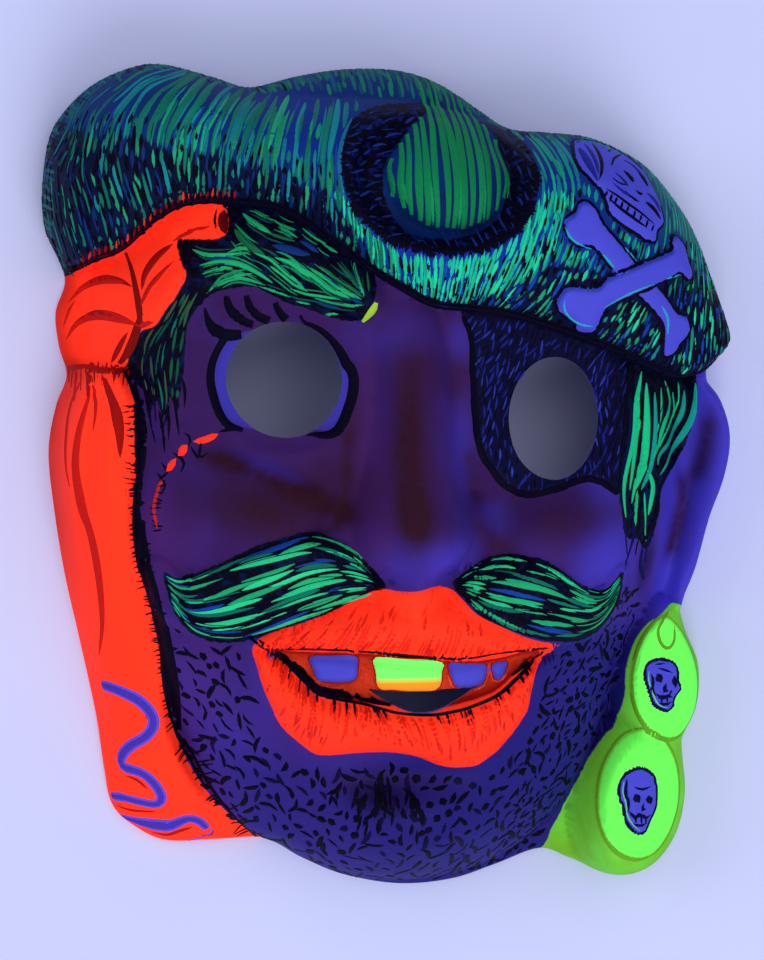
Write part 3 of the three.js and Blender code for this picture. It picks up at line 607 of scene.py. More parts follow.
class Bench:
    """A material being put together, node by node."""

    def __init__(self, name):
        self.material = bpy.data.materials.new(name)
        self.material.use_nodes = True
        self.tree = self.material.node_tree
        self.shader = self.tree.nodes["Principled BSDF"]

    def node(self, kind, settings=None, values=None, output=0):
        made = self.tree.nodes.new(kind)
        for key, value in (settings or {}).items():
            setattr(made, key, value)
        for key, value in (values or {}).items():
            self.plug(made.inputs[key], value)
        return Wire(self, made.outputs[output])

    def plug(self, socket, value):
        if isinstance(value, Wire):
            self.tree.links.new(value.output, socket)
        elif socket.type == "RGBA":
            socket.default_value = (*value[:3], 1.0)
        else:
            socket.default_value = value

    def maths(self, operation, first, second, clamp=False):
        settings = {"operation": operation, "use_clamp": clamp}
        return self.node("ShaderNodeMath", settings, {0: first, 1: second})

    def blend(self, share, under, over, how="MIX"):
        settings = {"data_type": "RGBA", "blend_type": how}
        return self.node("ShaderNodeMix", settings, {0: share, 6: under, 7: over}, output=2)

    def read(self, name, output="Fac"):
        return self.node("ShaderNodeAttribute", {"attribute_name": name}, output=output)

    def place(self, stretch):
        here = self.node("ShaderNodeTexCoord", output="Object")
        return self.node("ShaderNodeMapping", {}, {"Vector": here, "Scale": stretch})

    def noise(self, size, detail=2.0, rough=0.5, stretch=(1, 1, 1)):
        """Cloudy variation from 0 to 1 whose blots are about that many millimetres across."""
        place = self.place(stretch)
        values = {"Vector": place, "Scale": 1000 / size, "Detail": detail, "Roughness": rough}
        return self.node("ShaderNodeTexNoise", {}, values)

    def edge(self, distance, blur=0.3, wobble=0.0):
        """Turns a distance in millimetres into a brushed edge: 1 inside, 0 outside."""
        if wobble:
            distance = distance + (self.noise(1.6, 2) - 0.5) * wobble
        return (distance / blur + 0.5).clamp()

    def between(self, value, low, high):
        return ((value - low) / (high - low)).clamp()

    def finish(self, colour, roughness, glow=None, strength=0.0, height=None, depth=0.0001):
        self.plug(self.shader.inputs["Base Color"], colour)
        self.plug(self.shader.inputs["Roughness"], roughness)
        self.shader.inputs["Specular IOR Level"].default_value = SHEEN
        if glow is not None:
            self.plug(self.shader.inputs["Emission Color"], glow)
            self.shader.inputs["Emission Strength"].default_value = strength
        if height is not None:
            values = {"Height": height, "Distance": depth, "Strength": 0.6}
            self.plug(self.shader.inputs["Normal"], self.node("ShaderNodeBump", {}, values))
        return self.material


def moulded_front(c):
    """The painted outside: every large area of paint, laid over the skin in order."""
    b = Bench("painted front")
    cloud, grain, speck = b.noise(14, 3), b.noise(2.2, 3, 0.6), b.noise(0.7, 2)
    brown = (b.read("airbrush") * (0.75 + grain * 0.5)).clamp()
    # painted highlight: violet laid over the plum skin on its slopes, nose, cheeks, brow, jaw and ear
    skin = b.blend(b.between(b.read("turned") + (cloud - 0.5) * 0.25, 0, 1), c.skin, c.skin_highlight)
    # painted red glow cast by the bandana on the left cheek and jaw, and warmer skin beside the nose
    skin = b.blend(b.read("warm").clamp() * (0.6 + cloud * 0.3), skin, tint(76, 34, 108))
    skin = b.blend(b.read("beard") * (0.8 + cloud * 0.4), skin, tint(22, 26, 104))
    paint = b.blend(brown, skin, c.airbrush)
    paint = b.blend(b.between(speck, 0.62, 0.8) * 0.2, paint, c.ink)
    # darker patches under the lower lip and below the tuft's end
    paint = b.blend(b.read("dark_patch") * (0.5 + grain * 0.6), paint, c.ink)

    def lay(area, colour, blur=0.3, wobble=0.0):
        """Lays a colour over an area and hands back the area's edge."""
        nonlocal paint
        edge = b.edge(b.read(area), blur, wobble)
        paint = b.blend(edge, paint, colour)
        return edge

    lay("eye_white", b.blend(b.between(b.read("eye_white"), 2.2, 0.4) * 0.35, tint(56, 50, 158), c.skin))
    lay("patch", b.blend(b.between(grain, 0.45, 0.75) * 0.5, c.patch, c.ink), wobble=0.6)
    strands = b.between(b.noise(2.6, 3), 0.5, 0.75)
    lay("hair", b.blend(strands * 0.4, c.ink, c.hat_dim), wobble=1.2)

    wrinkle = b.between(b.noise(1.5, 2, stretch=(1, 0.28, 1)), 0.58, 0.72)
    lip_rim = b.between(b.read("lips"), 2.4, 0.2) * 0.5
    red = b.blend((lip_rim * cloud + wrinkle * 0.35).clamp(), c.cloth, c.cloth_dark)
    lips = lay("lips", red, wobble=0.4)
    gums = b.blend(b.between(b.read("mouth"), 0.4, 2.2), c.cloth_dark, tint(206, 56, 30))
    mouth = lay("mouth", b.blend(b.between(grain, 0.5, 0.7) * 0.5, gums, c.cloth_dark), 0.4, 0.3)
    lay("teeth", b.blend(b.between(b.read("teeth"), 1.2, 0) * 0.4, c.bone, c.hat_bright))
    low_gold = b.between(b.read("gold_height"), -53.6, -55.4)
    gold = lay("gold", b.blend(low_gold, c.gold, tint(228, 138, 34)))

    # painted shade: the bandana darker red towards its rim and at the knot's pinch
    folds = b.read("cloth_shade") * (0.6 + cloud * 0.6)
    cloth = lay("cloth", b.blend(folds, c.cloth, c.cloth_dark), wobble=0.7)
    disc_face = b.edge(b.read("disc_face"), 0.5, 0.5)
    # painted shade: the discs' sides darker olive, their faces full yellow-green
    side = b.blend(b.between(cloud, 0.3, 0.7) * 0.35, c.disc_side, c.disc)
    earring = lay("earring", b.blend(disc_face, side, c.disc), wobble=0.3)
    disc_skull = lay("disc_skull", c.bone, 0.25)

    light = b.between(b.read("hat_light") + (cloud - 0.5) * 0.3, 0, 1)
    ragged = b.noise(3.2, 3, 0.6, stretch=(1, 0.4, 1))
    inked = b.edge(b.read("ink_zone") - 4 + (ragged - 0.5) * 20, 3)
    blue = b.blend(light, c.hat_dim, c.hat_bright)
    blue = b.blend(inked * (0.6 + grain * 0.45).clamp(), blue, c.ink)
    smear = b.read("green_smear") * b.between(b.noise(6, 3, stretch=(1, 0.4, 1)), 0.3, 0.7)
    hat = lay("hat", b.blend(smear.clamp(), blue, c.green_dim))
    blots = b.between(b.noise(2.4, 2, stretch=(1, 1.7, 1)), 0.54, 0.66) * 0.3
    # painted shadow: the dent's hollow is laid in ink-black with blue blots
    lay("dent", b.blend(blots, c.ink, c.hat_bright), 0.4, 1.8)
    lay("bulge", b.blend(b.between(cloud, 0.3, 0.7), tint(4, 28, 72), tint(10, 42, 110)), 0.4, 1.6)
    lay("bones", b.blend(b.between(b.read("bone_low"), 0, 1) * 0.7, c.bone, c.hat_bright), 0.25)

    lit = (lips * (1 - mouth) + cloth + gold).clamp() + earring
    lit = (lit * (1 - hat) * (1 - disc_skull)).clamp()
    glow = b.blend(lit, (0.0, 0.0, 0.0), paint)
    gloss = 0.57 + (cloud - 0.5) * 0.16 + (grain - 0.5) * 0.12
    height = grain * 0.5 + speck * 0.25 + b.noise(5, 2) * 0.6
    return b.finish(paint, gloss, glow, strength=0.32, height=height, depth=0.00012)


def bare_plastic(colours):
    """The unpainted inside and the cut edges, with faint drag marks from the mould."""
    b = Bench("bare plastic")
    cloud, drag = b.noise(22, 3), b.noise(3, 3, 0.6, stretch=(1, 0.15, 1))
    darker = tuple(c * 0.62 for c in colours.bare)
    colour = b.blend(b.between(cloud, 0.3, 0.75) * 0.6, colours.bare, darker)
    colour = b.blend(b.between(drag, 0.6, 0.75) * 0.3, colour, darker)
    return b.finish(colour, 0.42 + (cloud - 0.5) * 0.2, height=drag + cloud, depth=0.00015)


def brushed_paint():
    """Paint laid on with a brush, whose colour each stroke carries with it."""
    b = Bench("brushed paint")
    stroke = b.read("stroke_colour", "Color")
    streak, cloud = b.noise(0.8, 2), b.noise(5, 2)
    darker = b.blend(0.42, stroke, (0.0, 0.0, 0.02))
    colour = b.blend(b.between(streak, 0.5, 0.8) * 0.45 + cloud * 0.1, stroke, darker)
    glow = b.blend(b.read("stroke_glow"), (0.0, 0.0, 0.0), colour)
    roughness = 0.58 + (cloud - 0.5) * 0.18
    return b.finish(colour, roughness, glow, strength=0.3, height=streak + cloud, depth=0.00006)


def pale_floor(colours):
    b = Bench("pale floor")
    cloud = b.noise(180, 3)
    darker = tuple(c * 0.93 for c in colours.floor)
    colour = b.blend(b.between(cloud, 0.3, 0.7), colours.floor, darker)
    return b.finish(colour, 0.75 + (cloud - 0.5) * 0.1, height=b.noise(3, 2))


# ---- modelling helpers ----


def clear_selection():
    if bpy.context.object and bpy.context.object.mode != "OBJECT":
        bpy.ops.object.mode_set(mode="OBJECT")
    bpy.ops.object.select_all(action="DESELECT")


def select_only(thing):
    clear_selection()
    thing.select_set(True)
    bpy.context.view_layer.objects.active = thing


def pull(items, name, width=1, kind=np.int32):
    """One value of every item, or a row of them, as an array."""
    values = np.empty(len(items) * width, kind)
    items.foreach_get(name, values)
    return values.reshape(-1, width) if width > 1 else values


def vertex_places(mesh):
    return pull(mesh.vertices, "co", 3, np.float32).astype(float)


def move_vertices(mesh, places):
    mesh.vertices.foreach_set("co", np.ravel(places).astype(np.float32))
    mesh.update()


def add_values(mesh, name, values):
    layer = mesh.attributes.new(name, "FLOAT", "POINT")
    layer.data.foreach_set("value", np.ravel(values).astype(np.float32))


def hand_over(piece, name, stands_for=None):
    """Names a finished piece and puts it on the mask's body."""
    piece.name = name
    piece.data.name = name
    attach(piece, "root")
    if stands_for:
        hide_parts(stands_for)


def square_to_mask(u, v):
    """Wraps a square sheet, -1 to 1 each way, onto the mask's outline."""
    wide = np.abs(u) >= np.abs(v)
    big = np.where(wide, u, v)
    safe = np.where(big == 0, 1, big)
    turn = np.where(wide, math.pi / 4 * v / safe, math.pi / 2 - math.pi / 4 * u / safe)
    angle = np.where(big < 0, turn + math.pi, turn)
    radius = np.abs(big)
    radius = radius * (1 + 0.16 * (1 - radius**2))
    reach = rim_reach(angle) * np.minimum(radius, 1)
    return RIM_CENTRE[0] + reach * np.cos(angle), RIM_CENTRE[1] + reach * np.sin(angle)


def flat_layout(x, y):
    """Lays the front out flat for its colour map, with more room near the rim."""
    dx, dy = x - RIM_CENTRE[0], y - RIM_CENTRE[1]
    angle = np.arctan2(dy, dx)
    reach = rim_reach(angle)
    share = np.clip(np.hypot(dx, dy) / reach, 0, 1)
    wider = (share + 0.12 * share**12) / 1.12
    u = (RIM_CENTRE[0] + reach * wider * np.cos(angle) + 95.5) / 243
    v = (RIM_CENTRE[1] + reach * wider * np.sin(angle) + 126.5) / 243
    return u, v


# painted violet highlights on the skin: the nose, the cheek, the brow and the lip's corner
SKIN_LIGHTS = trace("""
5,-22,15,13,0,0.34 60,-24,16,16,0,0.42 16,-20,12,10,0,0.3 19,38,7,9,0,0.26 19,8,6,20,0,0.3
-1,40,16,12,0,0.18 28,-11,8,7,0,0.35 60,-4,10,8,0,0.25 -36,3,20,5,-20,0.26
""")


def violet_highlight_share(x, y):
    """Painted violet highlight on the skin: on slopes, the nose tip, the cheeks' ends, jaw and ear."""
    step = 1.0
    slope = np.hypot(
        mask_height(x + step, y) - mask_height(x - step, y),
        mask_height(x, y + step) - mask_height(x, y - step),
    ) / (2 * step)
    turned = 0.13 * ramp(0.4, 1.8, slope) * (1 - mound(x, y, -8, 6, 12, 40)) + 0.2 * ramp(10, 90, x)
    turned = turned + 0.2 * ramp(-30, -62, y) + 0.52 * ramp(76, 84, x)
    return add_mounds(turned, x, y, SKIN_LIGHTS)


AIRBRUSH_SPOTS = trace("""
4,6,8,40,0,0.5 4,-9,8,12,0,0.5 -34,-8,26,12,-10,0.9 27,-14,9,14,25,0.3 46,-10,22,12,0,0.7
-18,0,9,12,-25,0.6 -44,5,9,6,0,0.4 -40,45,14,8,0,0.3 -56,-8,8,20,0,0.3 0,-84,26,5,0,0.4
20,3,6,18,0,0.12 -11,17,8,13,0,0.4 -7,-3,9,12,0,0.35 -4,46,8,10,0,0.4 -10,8,5,22,5,0.2
16,27,7,8,0,0.35
""")
# half width and strength, then the line that the brown was blown along
AIRBRUSH_LINES = drawing("""
3 0.7 -50,6.5 -40.5,3.5 -32.8,0.5 -24.9,-3 -12,-9
5.4 0.58 5.4,31 3.7,24.7 2.7,15.6 1.7,6.6 2.5,-3.5 3.5,-9
2.8 0.5 95,12 94,4.5 92.4,-1.5
3 0.6 87.8,-5 87.3,-14 85,-23
2.2 0.25 95,16 93.6,2 89,-8 84,-26
2.5 0.5 21,6 21.5,1.2 23.5,-4.7
2.2 0.35 23,-12 28,-17 33,-20
2.2 0.5 -12,12 -12.8,-5.1 -14.5,-11 -20,-14.5
""")


# the areas with plain outlines: points to add between the drawn ones, then the outlines
OUTLINED_AREAS = {
    "dent": (4, DENT), "bulge": (4, BULGE), "bones": (4, HAT_SKULL, BONE_UNDER, BONE_OVER),
    "hair": (4, BROW, TUFT, LEFT_MOUSTACHE, RIGHT_MOUSTACHE), "patch": (4, PATCH),
    "eye_white": (4, EYE_WHITE), "lips": (4, LIPS), "mouth": (4, MOUTH), "teeth": (3, *TEETH),
    "gold": (3, GOLD_TOOTH), "earring": (4, EARRING), "disc_face": (4, TOP_DISC, BOTTOM_DISC),
    "disc_skull": (4, *DISC_SKULLS),
}
SPOTTED_AREAS = {
    "hat_light": trace("14,62,44,26,0,0.95 52,72,34,40,0,0.4 -24,92,30,22,0,0.45"),
    # dark_patch: under the lower lip and below the tuft's end
    "dark_patch": trace("-3,-89,15,8,-10,0.9 75,-27,4.5,12,-8,0.85"),
    # warm: warmer skin beside the nose, and a painted red glow from the bandana on the left cheek and
    # jaw
    "warm": trace("-7,4,10,38,0,0.8 -62,-16,18,20,0,0.9 -52,-58,14,30,0,0.5"),
}


def paint_areas(x, y):
    """Every paint value of the front at these places, by name."""
    areas = {
        name: np.maximum.reduce([inside(x, y, outline, steps) for outline in outlines])
        for name, (steps, *outlines) in OUTLINED_AREAS.items()
    }
    for name, spots in SPOTTED_AREAS.items():
        areas[name] = add_mounds(0, x, y, spots)
    lower_edge = hat_edge(x)
    areas["hat"] = (y - lower_edge) * 0.92
    areas["ink_zone"] = read_line(INK_TOP, x) - y
    areas["green_smear"] = ramp(76, 88, x) * ramp(45, 60, y) + 0.9 * mound(x, y, 82, 80, 20, 24)
    low_side = 0
    for bone in (BONE_UNDER, BONE_OVER):
        low_side = np.where(inside(x, y, bone) > 0, 0.5 - inside(x - 0.7, y + 1.2, bone), low_side)
    areas["bone_low"] = low_side
    edge = np.interp(y, *smooth(CLOTH_EDGE, 6).T)
    hanging = np.where(y < 27.5, edge - x - 0.8, -FAR)
    areas["cloth"] = np.maximum(hanging, inside(x, y, KNOT_PAINT))
    areas["cloth_shade"] = (
        0.7 * ramp(9, 0, rim_distance(x, y)) * ramp(-60, 0, y) + 0.35 * mound(x, y, -84, 28, 16, 5)
    )
    areas["gold_height"] = y
    brown = add_mounds(0, x, y, AIRBRUSH_SPOTS)
    for width, share, line in AIRBRUSH_LINES:
        near, _, _ = nearest(x, y, smooth(line, 5))
        brown = brown + share * np.exp(-((near / width) ** 2))
    areas["airbrush"] = np.clip(brown, 0, 1)
    # painted violet highlight on the skin
    areas["turned"] = violet_highlight_share(x, y)
    beard = ramp(-20, 40, x) * ramp(-38, -50, y) * ramp(82, 70, x)
    areas["beard"] = np.clip(0.7 * beard + 0.5 * ramp(-70, -86, y) * ramp(-60, -30, x), 0, 0.75)
    return areas


def give_walls(shell, wall):
    """Gives the sheet its thickness inwards; the inside and the rim take the second slot."""
    solid = shell.modifiers.new("wall", "SOLIDIFY")
    solid.thickness = wall
    solid.offset = -1
    solid.material_offset = 1
    solid.material_offset_rim = 1
    select_only(shell)
    bpy.ops.object.modifier_apply(modifier=solid.name)
    places = vertex_places(shell.data)
    places[:, 2] = np.maximum(places[:, 2], 0)
    move_vertices(shell.data, places)


def punch(shell):
    """Cuts the holes; their cut edges take the shell's second slot."""
    cutters = []
    for cx, cy, rx, ry in (LEFT_EYE_HOLE, RIGHT_EYE_HOLE):
        clear_selection()
        bpy.ops.mesh.primitive_cylinder_add(vertices=120, radius=1, depth=CUTTER_DEPTH)
        cutter = bpy.context.object
        places = vertex_places(cutter.data)
        shape = to_frame(cx + rx * places[:, 0], cy + ry * places[:, 1], 1000 * places[:, 2])
        move_vertices(cutter.data, shape)
        cutters.append(cutter)
    cutters.append(slit_cutter())
    select_only(cutters[0])
    for cutter in cutters:
        cutter.select_set(True)
    bpy.ops.object.join()
    joined = bpy.context.object
    for material in shell.data.materials:
        joined.data.materials.append(material)
    joined.data.polygons.foreach_set("material_index", np.ones(len(joined.data.polygons), np.int32))
    cut = shell.modifiers.new("holes", "BOOLEAN")
    cut.operation = "DIFFERENCE"
    cut.solver = "EXACT"
    cut.object = joined
    select_only(shell)
    bpy.ops.object.modifier_apply(modifier=cut.name)
    bpy.data.objects.remove(joined, do_unlink=True)


def slit_cutter():
    """A flat ring bent to the mouth's grin and drawn up into a block."""
    cx, cy, half, top_sag, bottom_sag = SLIT
    clear_selection()
    bpy.ops.mesh.primitive_circle_add(vertices=96, radius=1, fill_type="NGON")
    cutter = bpy.context.object
    places = vertex_places(cutter.data)
    across = np.clip(places[:, 0], -1, 1)
    sag = np.where(places[:, 1] >= 0, top_sag, bottom_sag)
    bent = cy - sag * (1 - across**2)
    move_vertices(cutter.data, to_frame(cx + half * across, bent, np.full(len(across), SLIT_BASE)))
    bpy.ops.object.mode_set(mode="EDIT")
    bpy.ops.mesh.select_all(action="SELECT")
    bpy.ops.mesh.extrude_region_move(TRANSFORM_OT_translate={"value": (0, 0, CUTTER_DEPTH)})
    bpy.ops.mesh.select_all(action="SELECT")
    bpy.ops.mesh.normals_make_consistent(inside=False)
    bpy.ops.object.mode_set(mode="OBJECT")
    return cutter


def store_paint(shell):
    """Stores the paint values at the front's vertices and lays out its colour map."""
    mesh = shell.data
    places = vertex_places(mesh) * 1000
    x, y = places[:, 0] + DRAWN_CENTRE[0], places[:, 1] + DRAWN_CENTRE[1]
    slots, counts = (pull(mesh.polygons, name) for name in ("material_index", "loop_total"))
    corners = pull(mesh.loops, "vertex_index")
    slot_of_corner = np.repeat(slots, counts)
    outside = np.zeros(len(places), bool)
    outside[corners[slot_of_corner == 0]] = True
    for name, values in paint_areas(x[outside], y[outside]).items():
        everywhere = np.full(len(places), -FAR)
        everywhere[outside] = values
        add_values(mesh, name, everywhere)
    u, v = flat_layout(x, y)
    u, v = u[corners], v[corners]
    inner = slot_of_corner > 0
    u[inner], v[inner] = 0.85 + u[inner] * 0.17, v[inner] * 0.17
    layer = mesh.uv_layers.new(name="OFBake")
    layer.data.foreach_set("uv", np.stack([u, v], 1).ravel().astype(np.float32))


class MASK_OT_shell(bpy.types.Operator):
    """Mould the thin shell, cut its eye holes and mouth slit, and paint its large areas"""

    bl_idname = "mask.shell"
    bl_label = "Moulded shell"

    def execute(self, context):
        sizes, colours = context.scene.mask_sizes, context.scene.mask_colours
        clear_selection()
        bpy.ops.mesh.primitive_grid_add(x_subdivisions=sizes.cells, y_subdivisions=sizes.cells, size=2)
        shell = context.object
        flat = vertex_places(shell.data)
        x, y = square_to_mask(flat[:, 0], flat[:, 1])
        z = mask_height(x, y)
        z[np.abs(flat[:, :2]).max(axis=1) > 0.999999] = 0
        move_vertices(shell.data, to_frame(x, y, z))
        for material in (moulded_front(colours), bare_plastic(colours)):
            shell.data.materials.append(material)
        give_walls(shell, sizes.wall)
        punch(shell)
        store_paint(shell)
        select_only(shell)
        bpy.ops.object.shade_smooth_by_angle(angle=math.radians(50))
        hand_over(shell, "mask_front", "mask_shell")
        return {"FINISHED"}


# ---- brush strokes ----


class Chart:
    """A value worked out once on a half-millimetre grid of places, then read quickly anywhere."""

    def __init__(self, rule, box=(-102, 110, -130, 118), step=0.5):
        self.start, self.step = (box[0], box[2]), step
        across = np.arange(box[0], box[1], step)
        up = np.arange(box[2], box[3], step)
        self.values = rule(*np.meshgrid(across, up, indexing="ij"))

    def __call__(self, x, y):
        cells = []
        for value, start, count in zip((x, y), self.start, self.values.shape):
            cell = np.rint((np.asarray(value) - start) / self.step).astype(int)
            cells.append(np.clip(cell, 0, count - 1))
        return self.values[tuple(cells)]


def chart_of(outline):
    return Chart(lambda x, y: inside(x, y, outline))


class Brush:
    """Lays strokes of paint on the shell and makes one mesh of them.

    A job may keep charts on it for the jobs that come after.
    """

    # metres: where rays start, the lowest place for paint, and the steps that call for more places
    # or for a new stroke; half the width from which a stroke takes five rows, and its thin edge
    RAY_START, LOWEST, LONG_STEP, JUMP = 0.2, 0.0012, 0.002, 0.008
    BROAD, EDGE = 0.00075, 0.00001
    # the least share that a surface must face upwards; millimetres: least length, least half width
    STEEPEST = 0.02
    SHORTEST, THINNEST = 0.3, 0.08

    def __init__(self, sizes, seed):
        shell = bpy.data.objects["mask_front"]
        self.surface = BVHTree.FromObject(shell, bpy.context.evaluated_depsgraph_get())
        self.lift, self.step = sizes.paint_lift, sizes.stroke_step * 1000
        self.dice = np.random.default_rng(seed)
        self.roll = self.dice.uniform
        self.strokes = []

    def touch(self, point):
        """The outside of the shell under a drawn place, or nothing over a hole."""
        start = Vector((*((point - DRAWN_CENTRE) / 1000), self.RAY_START))
        place, normal, _, _ = self.surface.ray_cast(start, Vector((0, 0, -1)))
        if place is None or normal.z < self.STEEPEST or place.z < self.LOWEST:
            return None
        return np.array(place), np.array(normal)

    def follow(self, line):
        """Places under the line, closer together where the surface is steep."""
        found = [self.touch(p) for p in line]
        result = [found[0]]
        for k in range(1, len(line)):
            a, b = found[k - 1], found[k]
            if a is not None and b is not None:
                gap = np.linalg.norm(a[0] - b[0])
                extra = min(int(gap / self.LONG_STEP), 6)
                for n in range(1, extra + 1):
                    result.append(self.touch(mix(line[k - 1], line[k], n / (extra + 1))))
            result.append(b)
        return result

    def stroke(self, line, width, colour, glow=0.0, taper=0.5, tail=1.0, level=0.0):
        """One stroke: a width in millimetres that thins towards both ends, or widths along it."""
        line = np.array(line, float)
        lengths = np.append(0, np.cumsum(np.hypot(*np.diff(line, axis=0).T)))
        if lengths[-1] < self.SHORTEST:
            return
        count = max(4, int(lengths[-1] / self.step) + 1)
        at = np.linspace(0, lengths[-1], count)
        line = np.stack([np.interp(at, lengths, line[:, 0]), np.interp(at, lengths, line[:, 1])], 1)
        run = []
        places = self.follow(line)
        for k, place in enumerate(places + [None]):
            if place is not None and run and np.linalg.norm(place[0] - run[-1][1][0]) < self.JUMP:
                run.append((k, place))
                continue
            if len(run) > 2:
                self.keep(run, len(places), width, colour, glow, taper, tail, level)
            run = [(k, place)] if place is not None else []

    def draw(self, points, steps, *paint, **more):
        """A stroke along a smooth line through the points."""
        self.stroke(smooth(points, steps), *paint, **more)

    def keep(self, run, total, width, colour, glow, taper, tail, level):
        share = np.array([k for k, _ in run]) / max(total - 1, 1)
        if np.ndim(width):
            wide = np.interp(share, np.linspace(0, 1, len(width)), width)
        else:
            leaf = np.clip(np.sin(math.pi * share**tail), 0, 1)
            wide = width * (leaf**taper if taper else np.ones(len(run)))
        half = np.maximum(wide / 2, self.THINNEST) / 1000
        places = np.array([p[0] for _, p in run])
        normals = np.array([p[1] for _, p in run])
        along = np.gradient(places, axis=0)
        sideways = np.cross(normals, along)
        sideways /= np.linalg.norm(sideways, axis=1, keepdims=True) + 1e-12
        lift = self.lift * (1 + level + len(self.strokes) % 19 / 60)
        if half.max() < self.BROAD:
            sides = [(-1, -self.EDGE), (0, lift), (1, -self.EDGE)]
        else:
            sides = [(-1, self.EDGE), (-0.75, lift), (0, lift), (0.75, lift), (1, self.EDGE)]
        rows = []
        for side, height in sides:
            row = places + sideways * half[:, None] * side
            if side and len(sides) == 5:
                row = self.settle(row, normals)
            rows.append(row + normals * height)
        self.strokes.append((rows, np.array(colour[:3]), glow))

    def settle(self, row, normals):
        """Lays one edge of a wide stroke on the surface, but not down a step or a hole."""
        result = []
        for point, normal in zip(row, normals):
            hit = self.surface.ray_cast(Vector(point + normal * 0.0008), Vector(-normal), 0.0016)[0]
            result.append(point if hit is None else np.array(hit))
        return np.array(result)

    def shade(self, colour, spread=0.16):
        """The colour a little lighter or darker, as no two strokes take the same paint."""
        factor = 1 + self.roll(-spread, spread)
        return tuple(min(c * factor, 1) for c in colour[:3])

    def any_of(self, choices, spread=0.2):
        """One of the colours, each with its weight, a little lighter or darker."""
        weights = np.array([w for _, w in choices])
        pick = self.dice.choice(len(choices), p=weights / weights.sum())
        return self.shade(choices[pick][0], spread)

    def bake_layout(self, counts):
        """One small box of the colour map for each stroke."""
        side = math.ceil(math.sqrt(len(counts)))
        boxes = []
        for n, (rows, count) in enumerate(counts):
            along = np.linspace(0.12, 0.88, count)
            for across in np.linspace(0.2, 0.8, rows):
                u = (n % side + along) / side
                v = (n // side + across) / side
                boxes.append(np.stack([u, np.full(count, v)], 1))
        return np.vstack(boxes)

    def build(self, name, material):
        points, faces, colours, glows, counts = [], [], [], [], []
        first = 0
        for rows, colour, glow in self.strokes:
            count = len(rows[0])
            for row in range(len(rows) - 1):
                for a in range(first + row * count, first + (row + 1) * count - 1):
                    faces.append((a + count, a + count + 1, a + 1, a))
            points += rows
            colours.append(np.tile(np.append(colour, 1.0), (len(rows) * count, 1)))
            glows.append(np.full(len(rows) * count, glow))
            counts.append((len(rows), count))
            first += len(rows) * count
        places = np.vstack(points)
        places[:, 2] = np.maximum(places[:, 2], 0.0001)
        mesh = bpy.data.meshes.new(name)
        mesh.from_pydata(places, [], faces)
        layer = mesh.attributes.new("stroke_colour", "FLOAT_COLOR", "POINT")
        layer.data.foreach_set("color", np.vstack(colours).astype(np.float32).ravel())
        add_values(mesh, "stroke_glow", np.concatenate(glows))
        layout = self.bake_layout(counts)[pull(mesh.loops, "vertex_index")]
        uv = mesh.uv_layers.new(name="OFBake")
        uv.data.foreach_set("uv", layout.astype(np.float32).ravel())
        piece = bpy.data.objects.new(name, mesh)
        bpy.context.scene.collection.objects.link(piece)
        mesh.materials.append(material)
        select_only(piece)
        self.face_outwards(piece)
        bpy.ops.object.shade_smooth()
        hand_over(piece, name)
        return piece

    def face_outwards(self, piece):
        """Flips the faces that look down into the shell."""
        mesh = piece.data
        normals = pull(mesh.polygons, "normal", 3, np.float32)
        for part in (mesh.vertices, mesh.edges):
            part.foreach_set("select", np.zeros(len(part), bool))
        mesh.polygons.foreach_set("select", normals[:, 2] < 0)
        bpy.ops.object.mode_set(mode="EDIT")
        bpy.ops.mesh.select_mode(type="FACE")
        bpy.ops.mesh.flip_normals()
        bpy.ops.object.mode_set(mode="OBJECT")


def hat_flow(x, y):
    """The way that strokes run down the hat at a place."""
    table = np.array(HAT_FLOW)
    weight = 1 / ((table[:, 0] - x) ** 2 + (table[:, 1] - y) ** 2 + 4) ** 1.5
    way = np.array([(table[:, 2] * weight).sum(), (table[:, 3] * weight).sum()])
    return way / np.hypot(*way)


def run_with(flow, start, length, step=1.2):
    """A line through the start that follows the flow both ways."""
    halves = []
    for sign in (-1, 1):
        here, line = np.array(start, float), []
        for _ in range(max(1, int(length / 2 / step))):
            here = here + sign * step * flow(*here)
            line.append(here)
        halves.append(line)
    return np.array(halves[0][::-1] + [np.array(start, float)] + halves[1])


def sow(dice, allowed, box, tries, across, along, flow):
    """Scatters places that keep their distance: less across the flow than along it."""
    x = dice.uniform(box[0], box[1], tries)
    y = dice.uniform(box[2], box[3], tries)
    fits = allowed(x, y)
    kept, ways, count = np.zeros((tries, 2)), np.zeros((tries, 2)), 0
    for px, py in zip(x[fits], y[fits]):
        near = kept[:count] - (px, py)
        down = near[:, 0] * ways[:count, 0] + near[:, 1] * ways[:count, 1]
        aside = near[:, 0] * ways[:count, 1] - near[:, 1] * ways[:count, 0]
        if ((down / along) ** 2 + (aside / across) ** 2 < 1).any():
            continue
        kept[count], ways[count] = (px, py), flow(px, py)
        count += 1
    return kept[:count]


def cut_to(line, allowed):
    """The part of a line, round its middle, that stays where it is allowed."""
    ok = allowed(line[:, 0], line[:, 1])
    middle = len(line) // 2
    if not ok[middle]:
        return line[:0]
    start, end = middle, middle
    while start > 0 and ok[start - 1]:
        start -= 1
    while end < len(line) - 1 and ok[end + 1]:
        end += 1
    return line[start : end + 1]


def share_points(line, shares):
    """Places at the given shares of a smooth line."""
    line = smooth(line, 8)
    steps = np.linspace(0, 1, len(line))
    return np.stack([np.interp(shares, steps, line[:, k]) for k in (0, 1)], 1)


def between_lines(first, second, share, shares):
    """A line part of the way between two others, over the given shares of their length."""
    a, b = share_points(first, shares), share_points(second, shares)
    return mix(a, b, np.broadcast_to(share, (len(a),))[:, None])


